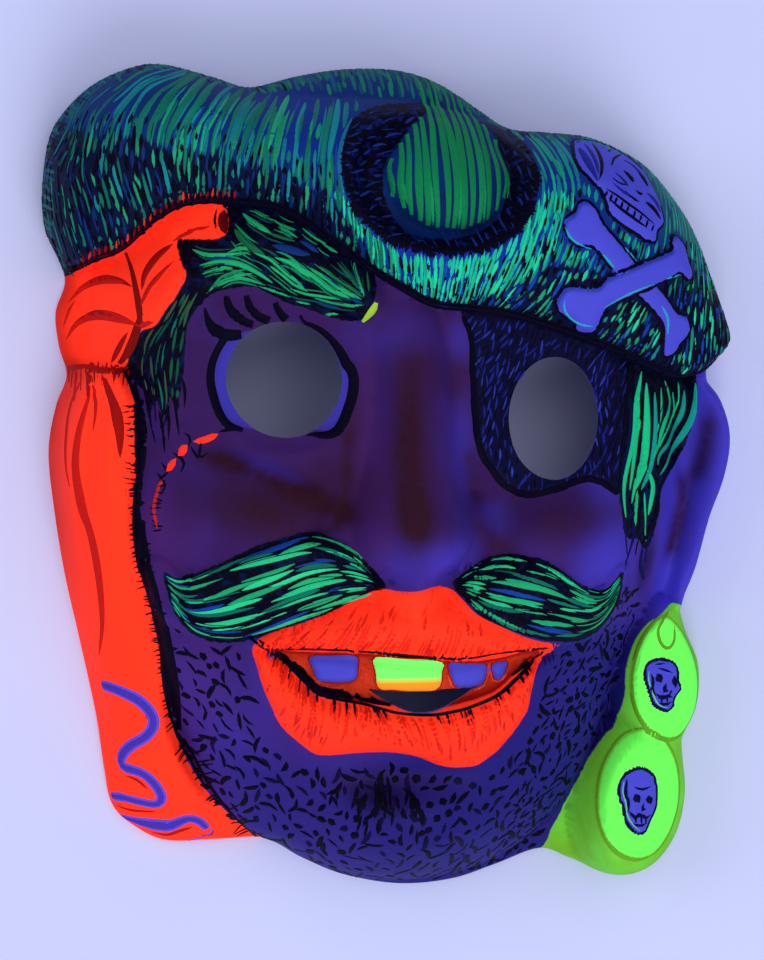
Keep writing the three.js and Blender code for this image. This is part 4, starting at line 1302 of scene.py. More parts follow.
def paints(text):
    """Paints to choose from, each written as red,green,blue,weight."""
    return [(tint(*colour), weight) for *colour, weight in trace(text)]


def cover(
    b, allowed, box, spacing, lengths, widths, choices, glow, taper=0.35, level=0.0, flow=hat_flow
):
    """Covers a part of the hat with strokes that run down it."""
    tries = int((box[1] - box[0]) * (box[3] - box[2]) / spacing[0] / spacing[1] * 7)
    for start in sow(b.dice, allowed, box, tries, *spacing, flow):
        line = cut_to(run_with(flow, start, b.roll(*lengths)), allowed)
        if len(line) > 2:
            wide = b.roll(*widths)
            b.stroke(line, wide, b.any_of(choices), glow, taper, b.roll(0.75, 1.3), level)


def brushed(context, name, seed, *jobs):
    """Hands a brush and the colours to each job in turn, then makes the piece."""
    brush = Brush(context.scene.mask_sizes, seed)
    for job in jobs:
        job(brush, context.scene.mask_colours)
    brush.build(name, context.scene.mask_finish)
    return {"FINISHED"}


def survey(b, c):
    """Charts of the room on the hat, the dent and the inked part, for the jobs that follow."""
    b.dent = chart_of(DENT)
    b.ink = Chart(lambda x, y: read_line(INK_TOP, x) - y)

    def room(x, y):
        marks = [inside(x, y, o) for o in (HAT_SKULL, BONE_UNDER, BONE_OVER, DENT)]
        free = np.minimum(-np.maximum.reduce(marks) - 0.6, rim_distance(x, y) - 0.6)
        free = np.minimum(free, y - hat_edge(x) - 1.4)
        return np.minimum(free, read_line(HAT_UPPER_EDGE, x) - 0.5 - y)

    b.room = Chart(room)


def crown(b, c):
    above = lambda x, y: (y > read_line(HAT_UPPER_EDGE, x) + 0.3) & (b.dent(x, y) < -0.6)
    behind = lambda x, y: above(x, y) & (rim_distance(x, y) > 0.7) & (x > -38) & (x < 60)
    lean = lambda x, y: np.array([0.04 - x * 0.004, -1.0]) if x < 26 else np.array([0.35, -0.94])
    greens = paints("12,92,84,4 14,106,80,3 14,70,100,2")
    cover(b, behind, (-38, 60, 86, 115), (1.6, 5.5), (3.5, 12), (0.9, 1.4), greens, 0.3, 0.25, flow=lean)


def upper_strokes(b, c):
    above = lambda x, y: (b.room(x, y) > 0) & (b.ink(x, y) < 6)
    end = lambda x, y: above(x, y) & (x < -70)
    left = lambda x, y: above(x, y) & (x < 0) & (x > -74)
    right = lambda x, y: above(x, y) & (x > 34)
    dark = paints("14,70,96,4 16,90,88,3")
    dim = [(c.green_dim, 6), (c.teal, 2), (c.green, 1)]
    lit = [(c.green, 4), (c.green_dim, 4), (c.teal, 2)]
    cover(b, end, (-98, -70, 56, 116), (1.9, 9), (10, 26), (0.9, 1.6), dark, 0.25)
    cover(b, left, (-74, 0, 56, 116), (2.35, 14), (18, 36), (1.3, 2.0), dim, 0.3)
    thin = lambda x, y: above(x, y) & (x < 0)
    cool = [(c.teal, 3), (tint(20, 60, 140), 3)]
    cover(b, thin, (-98, 0, 56, 116), (2.6, 10), (8, 20), (0.45, 0.8), cool, 0.25, level=0.3)
    near = lambda x, y: left(x, y) & (b.ink(x, y) > -14) & (x > -62)
    cover(b, near, (-62, 0, 56, 100), (1.9, 9), (10, 20), (0.8, 1.4), lit, 0.35, level=0.15)
    mint = [(tint(14, 140, 118), 5), (c.teal, 3)]
    cover(b, right, (34, 104, 50, 104), (1.25, 8), (9, 18), (0.9, 1.4), mint, 0.35)


def under_dent(b, c):
    bright = lambda x, y: (b.room(x, y) > 0) & (b.dent(x, y) > -12) & (y < 78) & (b.ink(x, y) < 5)
    mixture = [(c.green_bright, 8), (tint(20, 164, 134), 4), (tint(14, 72, 150), 1)]
    box = (-22, 52, 44, 78)
    cover(b, bright, box, (0.95, 4.4), (6, 12), (0.8, 1.35), mixture, 0.4, 0.3, 0.3)
    for reach, spacing in ((-2.5, 2.4), (-6, 1.9)):
        dashes = lambda x, y: bright(x, y) & (b.dent(x, y) < reach)
        cover(b, dashes, box, (spacing, 3.8), (2.5, 6), (0.6, 1.1), [(c.ink, 1)], 0, 0.3, 0.9)


def inked_part(b, c):
    inked = lambda x, y: (b.room(x, y) > 0) & (b.ink(x, y) > -2)
    left = lambda x, y: inked(x, y) & (x < -4)
    right = lambda x, y: inked(x, y) & (x > -6)
    cool = [(c.green, 3), (c.teal, 3), (c.green_dim, 4), (c.hat_dim, 4)]
    warm = [(c.green_bright, 3), (c.green, 4), (c.teal, 3), (tint(14, 56, 150), 4)]
    cover(b, left, (-98, -4, 50, 100), (1.3, 5.5), (4, 12), (0.85, 1.4), cool, 0.35, 0.4)
    cover(b, right, (-6, 104, 24, 70), (1.2, 3.8), (3.5, 8), (0.85, 1.4), warm, 0.35, 0.4)
    black = [(c.ink, 1)]
    dark = lambda x, y: (b.room(x, y) > -0.8) & (b.ink(x, y) > -2.5)
    cover(b, dark, (-98, 104, 24, 104), (1.9, 4.6), (3, 8), (0.9, 1.5), black, 0, 0.3, 0.7)
    deep = lambda x, y: (b.room(x, y) > -0.8) & (b.ink(x, y) > 7)
    cover(b, deep, (-98, 104, 24, 96), (2.4, 5), (3, 8), (0.9, 1.6), black, 0, 0.3, 0.9)


def dent_and_bulge(b, c):
    top = ((-1, 1, 6.5, 11, 12, 18, 26, 27, 28.7, 32), (82, 88, 95.2, 99.8, 116, 116, 116, 98, 95, 88))
    low = ((-1, 1, 5.1, 10.5, 18.6, 26, 30.2), (78.5, 74, 70, 66.4, 65.8, 68.6, 75))
    for k in range(14):  # strokes down the bulge
        x = 0.4 + 2.27 * k + b.roll(-0.25, 0.25)
        ends = [np.array([x, np.interp(x, *side)]) for side in (top, low)]
        bow = np.array([(x - 15) * 0.06, 0])
        sway = b.roll(-0.5, 0.5)
        bent = lambda t: mix(*ends, t) + bow * math.sin(math.pi * t) + (sway * math.sin(7 * t), 0)
        line = [bent(t) for t in np.linspace(0.02, 0.97, 18)]
        line = [p for p in line if rim_distance(*p) > 0.7]
        narrow = 0.7 if len(line) < 18 or ends[0][1] > 110 else 1.3
        widths = np.array([narrow, narrow, 1.5, 1.9, 2.1, 1.8, 1.2]) * b.roll(0.8, 1.1)
        b.stroke(line, widths, b.shade(tint(12, 114, 66), 0.12), 0.35, level=0.3)
        if k % 3 == 1:
            fork = np.array(line[6:]) + np.linspace(0, 1, len(line) - 6)[:, None] * (1.3, 0)
            b.stroke(fork, 1.2, b.shade(tint(14, 130, 76), 0.1), 0.35, 0.3, level=0.4)
    bulge = chart_of(BULGE)
    level_flow = lambda x, y: np.array([0.96, 0.28]) if x < 8 else np.array([0.3, -0.95])
    between = lambda x, y: (b.dent(x, y) > 1.2) & (bulge(x, y) < -1.0)
    blues = [(tint(22, 40, 118), 3), (c.hat_dim, 2)]
    for px, py in sow(b.dice, between, (-16, 42, 58, 102), 3000, 2.0, 4.2, level_flow):
        turn = b.roll(-0.5, 0.5)
        way = level_flow(px, py) * b.roll(0.7, 2.4) + (0, turn)
        bend = b.roll(-0.6, 0.6)
        dash = smooth([(px, py) - way, (px + bend * 0.3, py + bend), (px, py) + way], 3)
        b.stroke(dash, b.roll(0.4, 1.0), b.any_of(blues), 0.15)
    beside = trace("-10,96.8 -12.7,92 -14.4,85.2 -13.9,77.3 -11.6,71.3")
    b.draw(beside, 6, 1.2, tint(24, 96, 136), 0.3, 0.5, level=0.9)
    # ticks of ink round the dent's edge make the rim of its painted shadow ragged
    for place in ring(DENT, 14):  # ticks of ink round the dent's edge
        if place[1] > 92 or b.dice.random() < (0.15 if place[1] < 74 else 0.6):
            continue
        outward = place - (13.3, 80.5)
        outward /= np.hypot(*outward)
        start = place - outward * b.roll(1.0, 2.5)
        out = b.roll(0.2, 1.4) if place[1] < 74 else b.roll(-0.2, 0.5)
        end = place + outward * out + (b.roll(-0.6, 0.6), 0)
        b.stroke([start, end], b.roll(0.8, 1.7), c.ink, 0, 0.4, level=0.9)


def lower_line(b, c):
    for lift, width, level in ((1.5, 2.6, 1.2), (0.4, 1.6, 1.6)):
        line = [(x, hat_edge(x) + lift) for x in np.arange(-91, 101, 1.0)]
        line = np.array([p for p in line if rim_distance(*p) > 0.6])
        b.stroke(line, width, c.ink, 0, 0.12, level=level)
    for x in np.arange(-82, -40, 1.5):
        y = hat_edge(x)
        tip = (x + b.roll(-0.3, 0.6), y + b.roll(2.8, 4.2))
        red = b.any_of([(c.cloth_dark, 3), (c.cloth, 1)])
        b.stroke([(x, y + 1.4), tip], b.roll(0.5, 0.9), red, 0.3, level=1.6)


def steep_side(b, c):
    """Strokes down the hat's steep side, which carry on from those above it."""
    dark = paints("14,70,96,4 16,90,88,3") + [(c.ink, 3)]
    back = paints("12,92,84,4 14,106,80,3 14,70,100,2") + [(c.ink, 1)]
    right = [(tint(14, 140, 118), 5), (c.teal, 3), (c.ink, 2)]
    for highest, lowest in (((2.4, 5.0), (0.5, 1.0)), ((0.9, 2.0), (0.08, 0.3))):
        for angle in np.arange(-0.2, 3.3, 0.0125):
            way = np.array([math.cos(angle), math.sin(angle)])
            edge = RIM_CENTRE + way * rim_reach(angle)
            if edge[1] < hat_edge(edge[0]) + 2.5:
                continue
            start, end = b.roll(*highest), b.roll(*lowest)
            lean = np.array([-way[1], way[0]]) * b.roll(-0.5, 0.5)
            line = [edge - way * d + lean * (start - d) for d in np.linspace(start, end, 9)]
            choices = dark if edge[0] < -60 else back if edge[0] < 60 else right
            b.stroke(line, b.roll(0.9, 1.5), b.any_of(choices), 0.25, 0.35, level=0.4)


class MASK_OT_hat_strokes(bpy.types.Operator):
    """Brush the hat's green, blue and black strokes"""

    bl_idname = "mask.hat_strokes"
    bl_label = "Hat strokes"

    def execute(self, context):
        return brushed(
            context, "hat_strokes", 11,
            survey, crown, upper_strokes, under_dent, inked_part, dent_and_bulge, lower_line, steep_side,
        )


SKULL_SHADES = drawing("""
2.4 53.8,89.6 54.3,84.6 55.6,80
1.4 56.4,91 56.6,86 56.2,82
1.6 66.8,86.4 69.6,84.8 72,81
1.4 61.8,82.6 63.6,81 64.8,78.8
2.2 71,77 73.6,75 74.8,72
1.3 60.2,79.6 63.4,77 67,75.2
""")
# the skull turns away to the right: brow, sockets, nose and jaw, each with its width
SKULL_FEATURES = drawing("""
1.3 59.2,91.2 58.7,86.7 57.6,83.2 56,80.4
0.9 61.3,84.5 63.4,86.8 67.6,88.4
0.9 60.4,81 62.4,79.6 64.4,79.2
2.2 64.8,83.2 66.4,81.6 66.8,80
1.9 70.2,83 71.4,81 71.9,79
1.3 67.2,77.8 68.3,76.9 69.3,76.9
0.7 62.6,88.8 65,89.8
0.9 57.9,78 61,76.2 64.4,73.9 68.3,71.5 72,68.6
1 58.6,75.4 61.4,73 65,70.6 69.4,67.8
1.6 70,74.6 72.6,72.8 74.4,70
1 63.6,77.4 65.6,75.6 67.8,74.6
""")
BADGE_LIGHTS = drawing("""
0.8 45.6,67.8 47.2,64.6 50,62.9 53.2,61.8
0.8 56.2,60.6 60,56.6
0.8 45.8,48.2 45.8,45.8 48,43.2 51,41.6 54.4,41
0.8 57,46 64,49.6 72,52.4
0.8 76,53.8 81,55
0.8 74.6,46.6 76.8,43 77,38.6
0.8 63,62.4 66.6,58.6
""")


def badge_marks(b, c):
    over = chart_of(BONE_OVER)
    shapes = (
        (BONE_UNDER, lambda p: over(*p) < 0.5), (BONE_OVER, lambda p: True),
        (HAT_SKULL, lambda p: p[0] < 73 or p[1] < 74),
    )
    for outline, shown in shapes:
        ink_line(b, ring(outline, 6), shown, c.ink)
    skull_marks(b, c)
    for width, line in BADGE_LIGHTS:
        b.draw(line, 4, width, b.shade(tint(40, 150, 190)), 0.4, 0.4, level=0.8)


def ink_line(brush, loop, shown, ink):
    """A closed line in ink, broken where something lies over it."""
    run = []
    for p in [*loop, loop[0]]:
        if shown(p):
            run.append(p)
        elif len(run) > 3:
            brush.stroke(run, 1.35, ink, 0, 0.12, level=0.7)
            run = []
    if len(run) > 3:
        brush.stroke(run, 1.35, ink, 0, 0.12, level=0.7)


def skull_marks(b, c):
    """The skull turns away to the right: brow, sockets, nose and a row of teeth."""
    shade = tint(26, 34, 130)
    for width, line in SKULL_SHADES:
        b.draw(line, 5, width, b.shade(shade), 0, 0.5, level=0.2)
    for width, line in SKULL_FEATURES:
        b.draw(line, 5, width, c.ink, 0, 0.4, level=0.6)
    teeth = share_points(trace("58.2,77.4 61,75.8 64.4,73.5 68.3,71.1 72,68.4"), np.linspace(0, 1, 9))
    for k, place in enumerate(teeth):
        tip = place + (-0.9, -1.7 - 0.5 * (k % 2))
        b.stroke([place, tip], 0.85, c.ink, 0, 0.3, level=0.7)


class MASK_OT_badges(bpy.types.Operator):
    """Draw the outlines and marks of the hat's skull and crossed bones"""

    bl_idname = "mask.badges"
    bl_label = "Skull and crossed bones"

    def execute(self, context):
        return brushed(context, "badge_lines", 23, badge_marks)


# two sides of each patch of hair, rows of strands, their width, the share of the length that each
# takes, dark lines for each row, and where along the patch strands may begin and end
HAIR_PATCHES = {
    "sideburn": (trace("""
-57.1,50 -61.9,42.1 -66.2,36.5 -67.3,29.8 -65,21.2 -63.2,13
"""), trace("""
-50.5,51 -53.8,43.3 -54.9,35.9 -55.5,27.8 -56.6,19.7 -60.2,12.4
"""), 6, 1.0, 0.2, 4, (0.02, 0.8)),
    "left_moustache": (trace("""
-2.9,-27.4 -5.8,-23.2 -11.2,-17.9 -17.5,-14.8 -23.6,-13.7 -29.8,-15.2 -39.7,-19 -49.5,-24.9
-56.4,-27.8 -60.9,-26.6
"""), trace("""
-3.3,-28.4 -6.1,-30 -11.5,-32 -17.1,-34.6 -24.1,-37 -32.9,-40.7 -40.7,-43.5 -48.1,-44 -53.8,-41.6
-59.2,-34
"""), 13, 1.6, 0.24, 4, (0.16, 0.985)),
    "right_moustache": (trace("""
15.8,-27.6 20.3,-23.9 25.5,-21.9 30,-20.7 36,-21.4 42.3,-23.2 48.8,-27.1 55.7,-31.5 60.9,-31.9
65.6,-28
"""), trace("""
16.3,-29 19.8,-32.2 24.1,-36.2 31.4,-39.9 39.6,-42.7 46,-44.3 52.9,-45 58.8,-43 62.8,-38.4
65.9,-32.1
"""), 12, 1.5, 0.24, 4, (0.12, 0.985)),
}
# the brow's own strands: 0 bright, 1 dim or 2 blue, the width of each, then its line
BROW_STRANDS = drawing("""
0 1.9 -39,71.4 -37,69.3 -34.5,67.6 -32,65.9
0 0.8 -37.1,72.2 -35.7,71.8 -33.3,70.3 -30.4,69.3
0 1.4 -31.1,69.6 -28.5,67.9 -25.3,66.9
0 0.9 -29.8,68.1 -27.3,66.4 -25.1,64.8
1 2.1 -41.4,67.1 -39.2,64.2 -36.7,61.9 -33.8,60.3
0 1.2 -52.5,61.8 -49.3,60.4 -44.8,60.3 -39.9,60.8
0 1.6 -50.7,57.4 -46.1,58.5 -40.9,57.9 -36.3,55.9 -31.6,52.9
0 1.3 -48.4,50.5 -45.5,53.2 -41.5,54.6 -36.9,55.3
0 1.3 -50.1,55.2 -46.2,56.5 -42.2,56.8
0 1.2 -46.1,51.9 -42.2,53.9 -38.2,53.7 -33.5,52.2
0 1.5 -36.7,60.9 -32.5,59.1 -28.5,55.6 -25.2,53 -23.2,51
0 1.5 -32.4,57.3 -29.1,54.9 -25.8,52.3 -22.5,50.6
0 1.7 -31.2,59.6 -27.3,58.3 -24,55.8 -20.5,54
0 1.7 -25.4,57.3 -20.8,54.3 -16.8,51.1 -11.6,48.9
0 1.5 -22.8,57.3 -18.2,54 -13.6,51 -8.6,48.5
1 1.4 -19.5,57.3 -15.6,54.3 -11.6,51.5 -7.9,49
0 1.5 -19.2,64.4 -17.5,62.6 -14.5,60.8
1 1.2 -14.8,58.3 -11.5,54.4 -8.9,51
0 1.5 -10.1,58.4 -9.8,55.9 -8.8,52.3 -7.8,49.3
1 0.9 -6.5,55.9 -6.4,53.6 -6.4,50.6
0 1.1 -27,51.3 -23.1,49.9 -19.3,49.3 -14.1,48.5
0 1.4 -20.5,48.8 -15.9,47.6 -11.5,46.8 -8.1,47
0 1.1 -17.6,44.4 -14.2,44.5
0 0.8 -25.2,47.9 -21.6,47.1
0 1 -23.5,67.4 -20.4,64.8 -17.4,63.2
1 1 -33.6,66.6 -29.7,65 -25.8,63.9
0 1.1 -43.5,60.9 -39.6,62.2 -37.7,60.9
2 2.2 -31.8,62.8 -28.5,62.1 -24.7,60.9 -22,60.3
2 1.7 -24.5,63.9 -21.9,62.6 -19.7,60.8
2 0.9 -20.4,47.7 -16.5,46.8 -13.3,45.8
2 1 -49.4,58.9 -45.5,59.5 -41.6,59.1
2 1 -11.6,48.7 -8.9,47.7 -7.6,47
0 0.9 -35,51.9 -30.6,50.4 -26.8,49
""")
# the tuft's own strands: the width of each, then its line
TUFT_STRANDS = drawing("""
1.5 72.2,28 70.6,18.6 70,10.3 67.3,0.8 66.2,-6 66.4,-12.1
1.3 71.2,22.1 70.9,11.7 69.3,0.7 68.2,-4.8
1.9 73.6,24.8 73.7,11.7 72.6,1.9 70.6,-2.9 68.8,-8.6
1.6 76.3,22 76.5,11.5 75.1,1.8 71.8,-4.9
1.7 73.8,0.5 75.7,-3.8 75.2,-8.7 74.5,-12.2
1.6 80.2,25 82.6,18.6 79.5,12.7 77.1,6.6 74.6,1.5
1.2 84.4,21.3 85,15.5 80.5,10.5 77.8,6.5
1.6 88.4,21.8 87.8,15 83.9,9.2 78.2,4.7 77.3,1.7
1.7 91,24 91.2,15.7 88.2,8.5 81.9,2.4 78.2,-1.2
1 78.8,23.2 78.6,16.3 76.8,10.1
0.9 70.9,-5 70.2,-10.4 69.7,-15.2
0.9 72.9,-5.7 73.6,-13.5 74.6,-20
0.7 86.6,24 86.8,19 84.6,14
""")
TUFT_DARK = drawing("""
0.8 72.3,24 72.1,11.7 70.6,0.6 70.1,-5
0.8 75.1,24 75.2,11.6 73.9,0.5
1 78.1,22 77.7,11.4 75.9,1.8
0.8 87.1,22.5 86.4,15.4 80.2,9.8 77.3,4.5
0.9 89.8,24 89.6,15.4 86.2,8.6 79.1,3.2 77.1,0.3
1.4 69.1,18.7 68.4,8.3 65.8,-1.2 64.6,-8.5
1.4 67.3,-8.1 69.4,-13.2 68.8,-20.2 66.8,-27
1 72.2,-2.2 73.8,-5 73.7,-9.3
2 77.8,-4 78.2,-11.4 75.6,-16.8 73.1,-20.8
1.3 70.6,-9 71.5,-16.1 70.6,-23.4
1.6 73.3,-21 73,-26.8 75.4,-31.6
0.9 81,26 80.4,21 78.1,16.3
1 66,-12 66.6,-18 67.6,-23
0.8 76,-14 75.4,-20 74.6,-26
""")
SIDEBURN_ENDS = drawing("""
0.8 -55.5,27 -54.9,23 -55.1,18.9
0.8 -57.8,22 -57.1,16.2 -56.5,11.2
0.8 -61.8,18 -60.8,12 -60.4,6.6
0.8 -64.6,20 -64,14 -62.8,9
0.8 -59.8,20 -59.2,15 -59.4,10
""")


def hair_strands(b, c):
    knot = chart_of(KNOT_PAINT)
    brow = chart_of(BROW)
    b.free = lambda x, y: (knot(x, y) < -0.6) & (y < hat_edge(x) - 0.6)
    bright = [(tint(28, 160, 104), 4), (tint(34, 188, 126), 3), (c.green_dim, 2), (tint(16, 56, 140), 1)]
    dim = paints("16,74,52,3 50,76,54,4") + [(c.green_dim, 1)]
    for name, (first, second, rows, width, reach, lines, b.ends) in HAIR_PATCHES.items():
        choices = dim if name == "sideburn" else bright
        strand_rows(b, c, first, second, rows, width, reach, lines, choices)
    brow_paints = (tint(26, 158, 100), tint(18, 96, 60), tint(16, 48, 118))
    for kind, width, line in BROW_STRANDS:
        line, paint = smooth(line, 7), brow_paints[int(kind)]
        b.stroke(line, width, b.shade(paint, 0.14), 0.4 - 0.15 * kind, 0.5, b.roll(0.8, 1.25), 0.3)
        for side in (-1.05, 1.05) if kind < 2 else ():
            beside = line[2:-3] + (0.3 * side * width, side * width)
            beside = beside + (b.roll(-1.5, 1.5), b.roll(-0.2, 0.2))
            beside = beside[b.free(*beside.T) & (brow(*beside.T) > 0.5)]
            if len(beside) > 4:
                tone = b.any_of(paints("22,130,84,3 16,70,70,2 16,44,110,1"), 0.1)
                b.stroke(beside, b.roll(0.4, 0.75), tone, 0.25, 0.5, level=0.2)
        for side in (-0.3, 0.25) if width > 1.2 and kind < 2 else ():
            start = b.dice.integers(0, len(line) // 3)
            dark = line[start : start + len(line) // 2 + 1] + (width * side * 0.4, width * side)
            b.stroke(dark, b.roll(0.25, 0.45), c.ink, 0, 0.5, level=0.9)
    for width, line in TUFT_STRANDS:
        green = b.any_of(paints("18,178,120,5 14,140,128,2"), 0.1)
        b.draw(line, 7, width * 1.2, green, 0.4, 0.45, level=0.3)
    for width, line in TUFT_DARK:
        dark = b.any_of([(c.ink, 2), (tint(12, 14, 74), 1)], 0.1)
        b.draw(line, 7, width, dark, 0, 0.5, level=0.8)
    for thin, line in SIDEBURN_ENDS:
        b.draw(line, 5, b.roll(thin, 1.3), c.ink, 0, 0.4, 0.6, 0.4)
    tip = trace("-7.8,42.6 -6.3,44.4 -5,46.3 -4.5,47.6")
    b.draw(tip, 4, (0.8, 2.0, 2.5, 1.2), tint(150, 190, 50), 0.4, level=1.5)


def strand_rows(b, c, first, second, rows, width, reach, lines, choices):
    """Rows of leaf-shaped strands, then dark lines between them."""
    for row in range(rows):
        at = -b.roll(0, reach)
        while at < 0.95:
            end = at + reach * b.roll(0.7, 1.4)
            side = (row + 0.5 + b.roll(-0.25, 0.25)) / rows
            begin = max(at, b.ends[0] * b.roll(0.5, 1.3))
            stop = min(end, 1 - (1 - b.ends[1]) * b.roll(0.5, 1.4))
            strand(b, first, second, side, begin, stop, rows, width, b.any_of(choices, 0.15), 0.42, 0.2)
            at = end + reach * b.roll(0.0, 0.2)
    for _ in range(rows * lines):
        at = b.roll(-0.05, 0.85)
        end = at + reach * b.roll(0.4, 1.1)
        side = b.roll(0, 1)
        strand(b, first, second, side, at, end, rows, width * 0.6, c.ink, 0, 0.8)


def strand(b, first, second, side, start, end, rows, width, colour, glow, level):
    shares = np.linspace(max(start, 0.012), min(end, 0.988), 14)
    if shares[-1] - shares[0] < 0.03:
        return
    drift = side + (shares - start) * b.roll(-0.35, 0.35)
    line = between_lines(first, second, np.clip(drift, 0.03, 0.97), shares)
    line = cut_to(line, b.free)
    if len(line) < 3:
        return
    room = np.hypot(*np.diff([share_points(s, [shares[7]])[0] for s in (first, second)], axis=0)[0])
    wide = min(width * b.roll(0.75, 1.25), room / rows * 0.9)
    b.stroke(line, wide, colour, glow, 0.55, b.roll(0.75, 1.25), level)


class MASK_OT_hair(bpy.types.Operator):
    """Brush the strands of the brow, sideburn, moustache and tuft"""

    bl_idname = "mask.hair"
    bl_label = "Hair strands"

    def execute(self, context):
        return brushed(context, "hair_strands", 37, hair_strands)


# width and brightness of each length of the scar
SCAR = drawing("""
1.9 1 -52.7,9.9 -49.7,10.4 -46.1,12
2.7 1 -56.8,5.8 -54.3,8.9
2.4 1 -60,1.3 -57.3,5.1
1.4 0.6 -62.7,-3.7 -60.7,-0.6
1.5 0.35 -61.7,-1.8 -63.4,-8.5 -62.5,-14.5
1.2 0.4 -66,-20.3 -65.3,-26.4 -63.8,-31.8 -61.9,-37.1
""")
SCAR_TICKS = drawing("""
0.75 -55,12.1 -53.5,10.7 -54.1,8.5
0.75 -53.5,8.6 -51.5,5.6 -49,6.8
0.75 -50.7,9.7 -51.4,5.5
0.75 -58,6.5 -55.3,4.3 -56.2,1.4
0.75 -61.2,3.6 -59.7,1 -62,-0.6
0.75 -62.4,0.8 -60.4,-2 -61.4,-5
""")
# the widths along each line round the eye, then its places; the lashes follow
EYE_LINES = drawing("""
2.2 2 2.1 2.3 2.4 2.4 2.4 1.2 -43.7,38.6 -46.2,34.3 -47.6,30.5 -48,26.5 -47.3,22.5 -45.9,18.1
  -43.6,14.6 -39.6,13.2
0.3 1.4 0.6 -45.8,12.7 -43,13.4 -39.5,13.3
0.7 1.3 1.8 2.1 2.7 3.1 3.2 3.3 3.2 3.4 3.2 2 0.4 -24.1,44.2 -22.6,41.2 -19.8,37.8 -16.8,34.8
  -13.9,32.3 -11.1,30.3 -10,27.2 -10.4,22.8 -11.7,18.8 -13.3,15.1 -15.6,12.7 -18.8,12 -23.1,12.8
""")
LASHES = drawing("""
0.5 2 3.6 3.6 2.6 -49.4,46 -48.4,42.4 -46.7,40 -43.7,38.8 -39.6,38.8
1.5 2.4 2.9 2.8 2.2 -43.6,49.3 -43.2,46.9 -41.8,44.6 -39.4,42.6 -36.6,41.6
1.6 2.3 2.8 2.2 -38.4,49.3 -37.5,46.5 -35.4,44 -30.8,42
1.6 2.3 2.7 1.8 -30.8,47.5 -29.7,45.2 -27.7,43 -24.2,41.2
""")


def draw_eye(b, c):
    for *widths, line in EYE_LINES:
        line, wide = with_widths(line, widths)
        b.stroke(clear_of(LEFT_EYE_HOLE, line, wide), wide, c.ink, level=0.8)
    for *widths, line in LASHES:
        line, wide = with_widths(line, widths)
        cx, cy, rx, ry = LEFT_EYE_HOLE
        whole = np.hypot((line[:, 0] - cx) / (rx + 0.5), (line[:, 1] - cy) / (ry + 0.5)) > 1
        b.stroke(line[whole], wide[whole], c.ink, level=1.0)


def with_widths(line, widths):
    """The smooth line, and a width for each of its places."""
    line = smooth(line, 7)
    return line, np.interp(np.linspace(0, 1, len(line)), np.linspace(0, 1, len(widths)), widths)


def clear_of(hole, line, wide):
    """Moves a line out until its whole width lies beside the hole."""
    cx, cy, rx, ry = hole
    from_middle = line - (cx, cy)
    reach = np.hypot(from_middle[:, 0] / rx, from_middle[:, 1] / ry)
    need = 1 + (wide / 2 + 0.1) / rx
    return (cx, cy) + from_middle * (np.maximum(reach, need) / reach)[:, None]


def hatch_patch(b, c):
    room = Chart(lambda x, y: np.minimum(inside(x, y, PATCH) - 1, hat_edge(x) - 1.5 - y))
    way = lambda x, y: np.array([0.5, 0.87]) if y > 28 else np.array([0.2, 0.98])
    blues = paints("24,32,120,3 40,52,150,1") + [(c.ink, 2)]
    for px, py in sow(b.dice, lambda x, y: room(x, y) > 0, (20, 70, -6, 50), 12000, 1.15, 2.6, way):
        turn, reach = b.roll(-0.45, 0.45), b.roll(1.0, 2.2)
        dx, dy = way(px, py) * reach
        cos, sin = math.cos(turn), math.sin(turn)
        step = np.array([dx * cos - dy * sin, dx * sin + dy * cos])
        middle = np.array([px, py])
        b.stroke([middle - step, middle + (0.15, 0), middle + step], b.roll(0.5, 0.85), b.any_of(blues))
    rim = [p for p in ring(PATCH, 5) if p[1] < hat_edge(p[0]) - 0.5]
    gaps = [np.hypot(*(rim[k] - rim[k - 1])) for k in range(len(rim))]
    turn = int(np.argmax(gaps))
    b.stroke(rim[turn:] + rim[:turn], 1.9, c.ink, 0, 0.12, level=0.8)


def draw_scar(b, c):
    for width, bright, line in SCAR:
        red = tuple(mix(np.array(tint(120, 16, 40)), np.array(c.cloth[:3]), bright))
        b.draw(line, 6, width, red, 0.5 * bright, 0.3, level=0.4)
    for thin, line in SCAR_TICKS:
        b.draw(line, 5, b.roll(thin, 1.0), c.ink, 0, 0.3, level=0.9)
    for line in (trace("-61,-1 -63.2,-8 -62.6,-15"), trace("-65.6,-19 -64.6,-28 -61.6,-37")):
        for place in smooth(line, 9)[::2]:
            tip = place + (b.roll(0.6, 1.8), b.roll(-1.3, 1.3))
            b.stroke([place - (b.roll(0.5, 1.2), 0.3), tip], b.roll(0.5, 0.8), c.ink, 0, 0.3, level=0.8)


class MASK_OT_eye_lines(bpy.types.Operator):
    """Draw the lashes, the lines round the eye, the patch's hatching and the scar"""

    bl_idname = "mask.eye_lines"
    bl_label = "Eye, patch and scar"

    def execute(self, context):
        return brushed(context, "eye_lines", 41, draw_eye, hatch_patch, draw_scar)


UPPER_MOUTH_LINE = trace("""
-38,-43 -33.4,-45.6 -27.9,-45 -20.1,-44.6 -12.3,-44.7 -5.3,-45.4 4.1,-46.7 12.2,-47.4 20.6,-47.8
28.6,-46.6 37.3,-46.4 43.3,-46.8
""")
LOWER_MOUTH_LINE = trace("""
-36,-44.3 -29.8,-48.6 -26.4,-52.1 -23.3,-55 -20,-57.9 -13.9,-59.8 -7,-61.2 -3.6,-62 2.2,-63.2
10.4,-63.9 17.4,-63.2 23,-61.7 29.1,-59.2 33.9,-55.8 38.5,-52 41.5,-47.4
""")


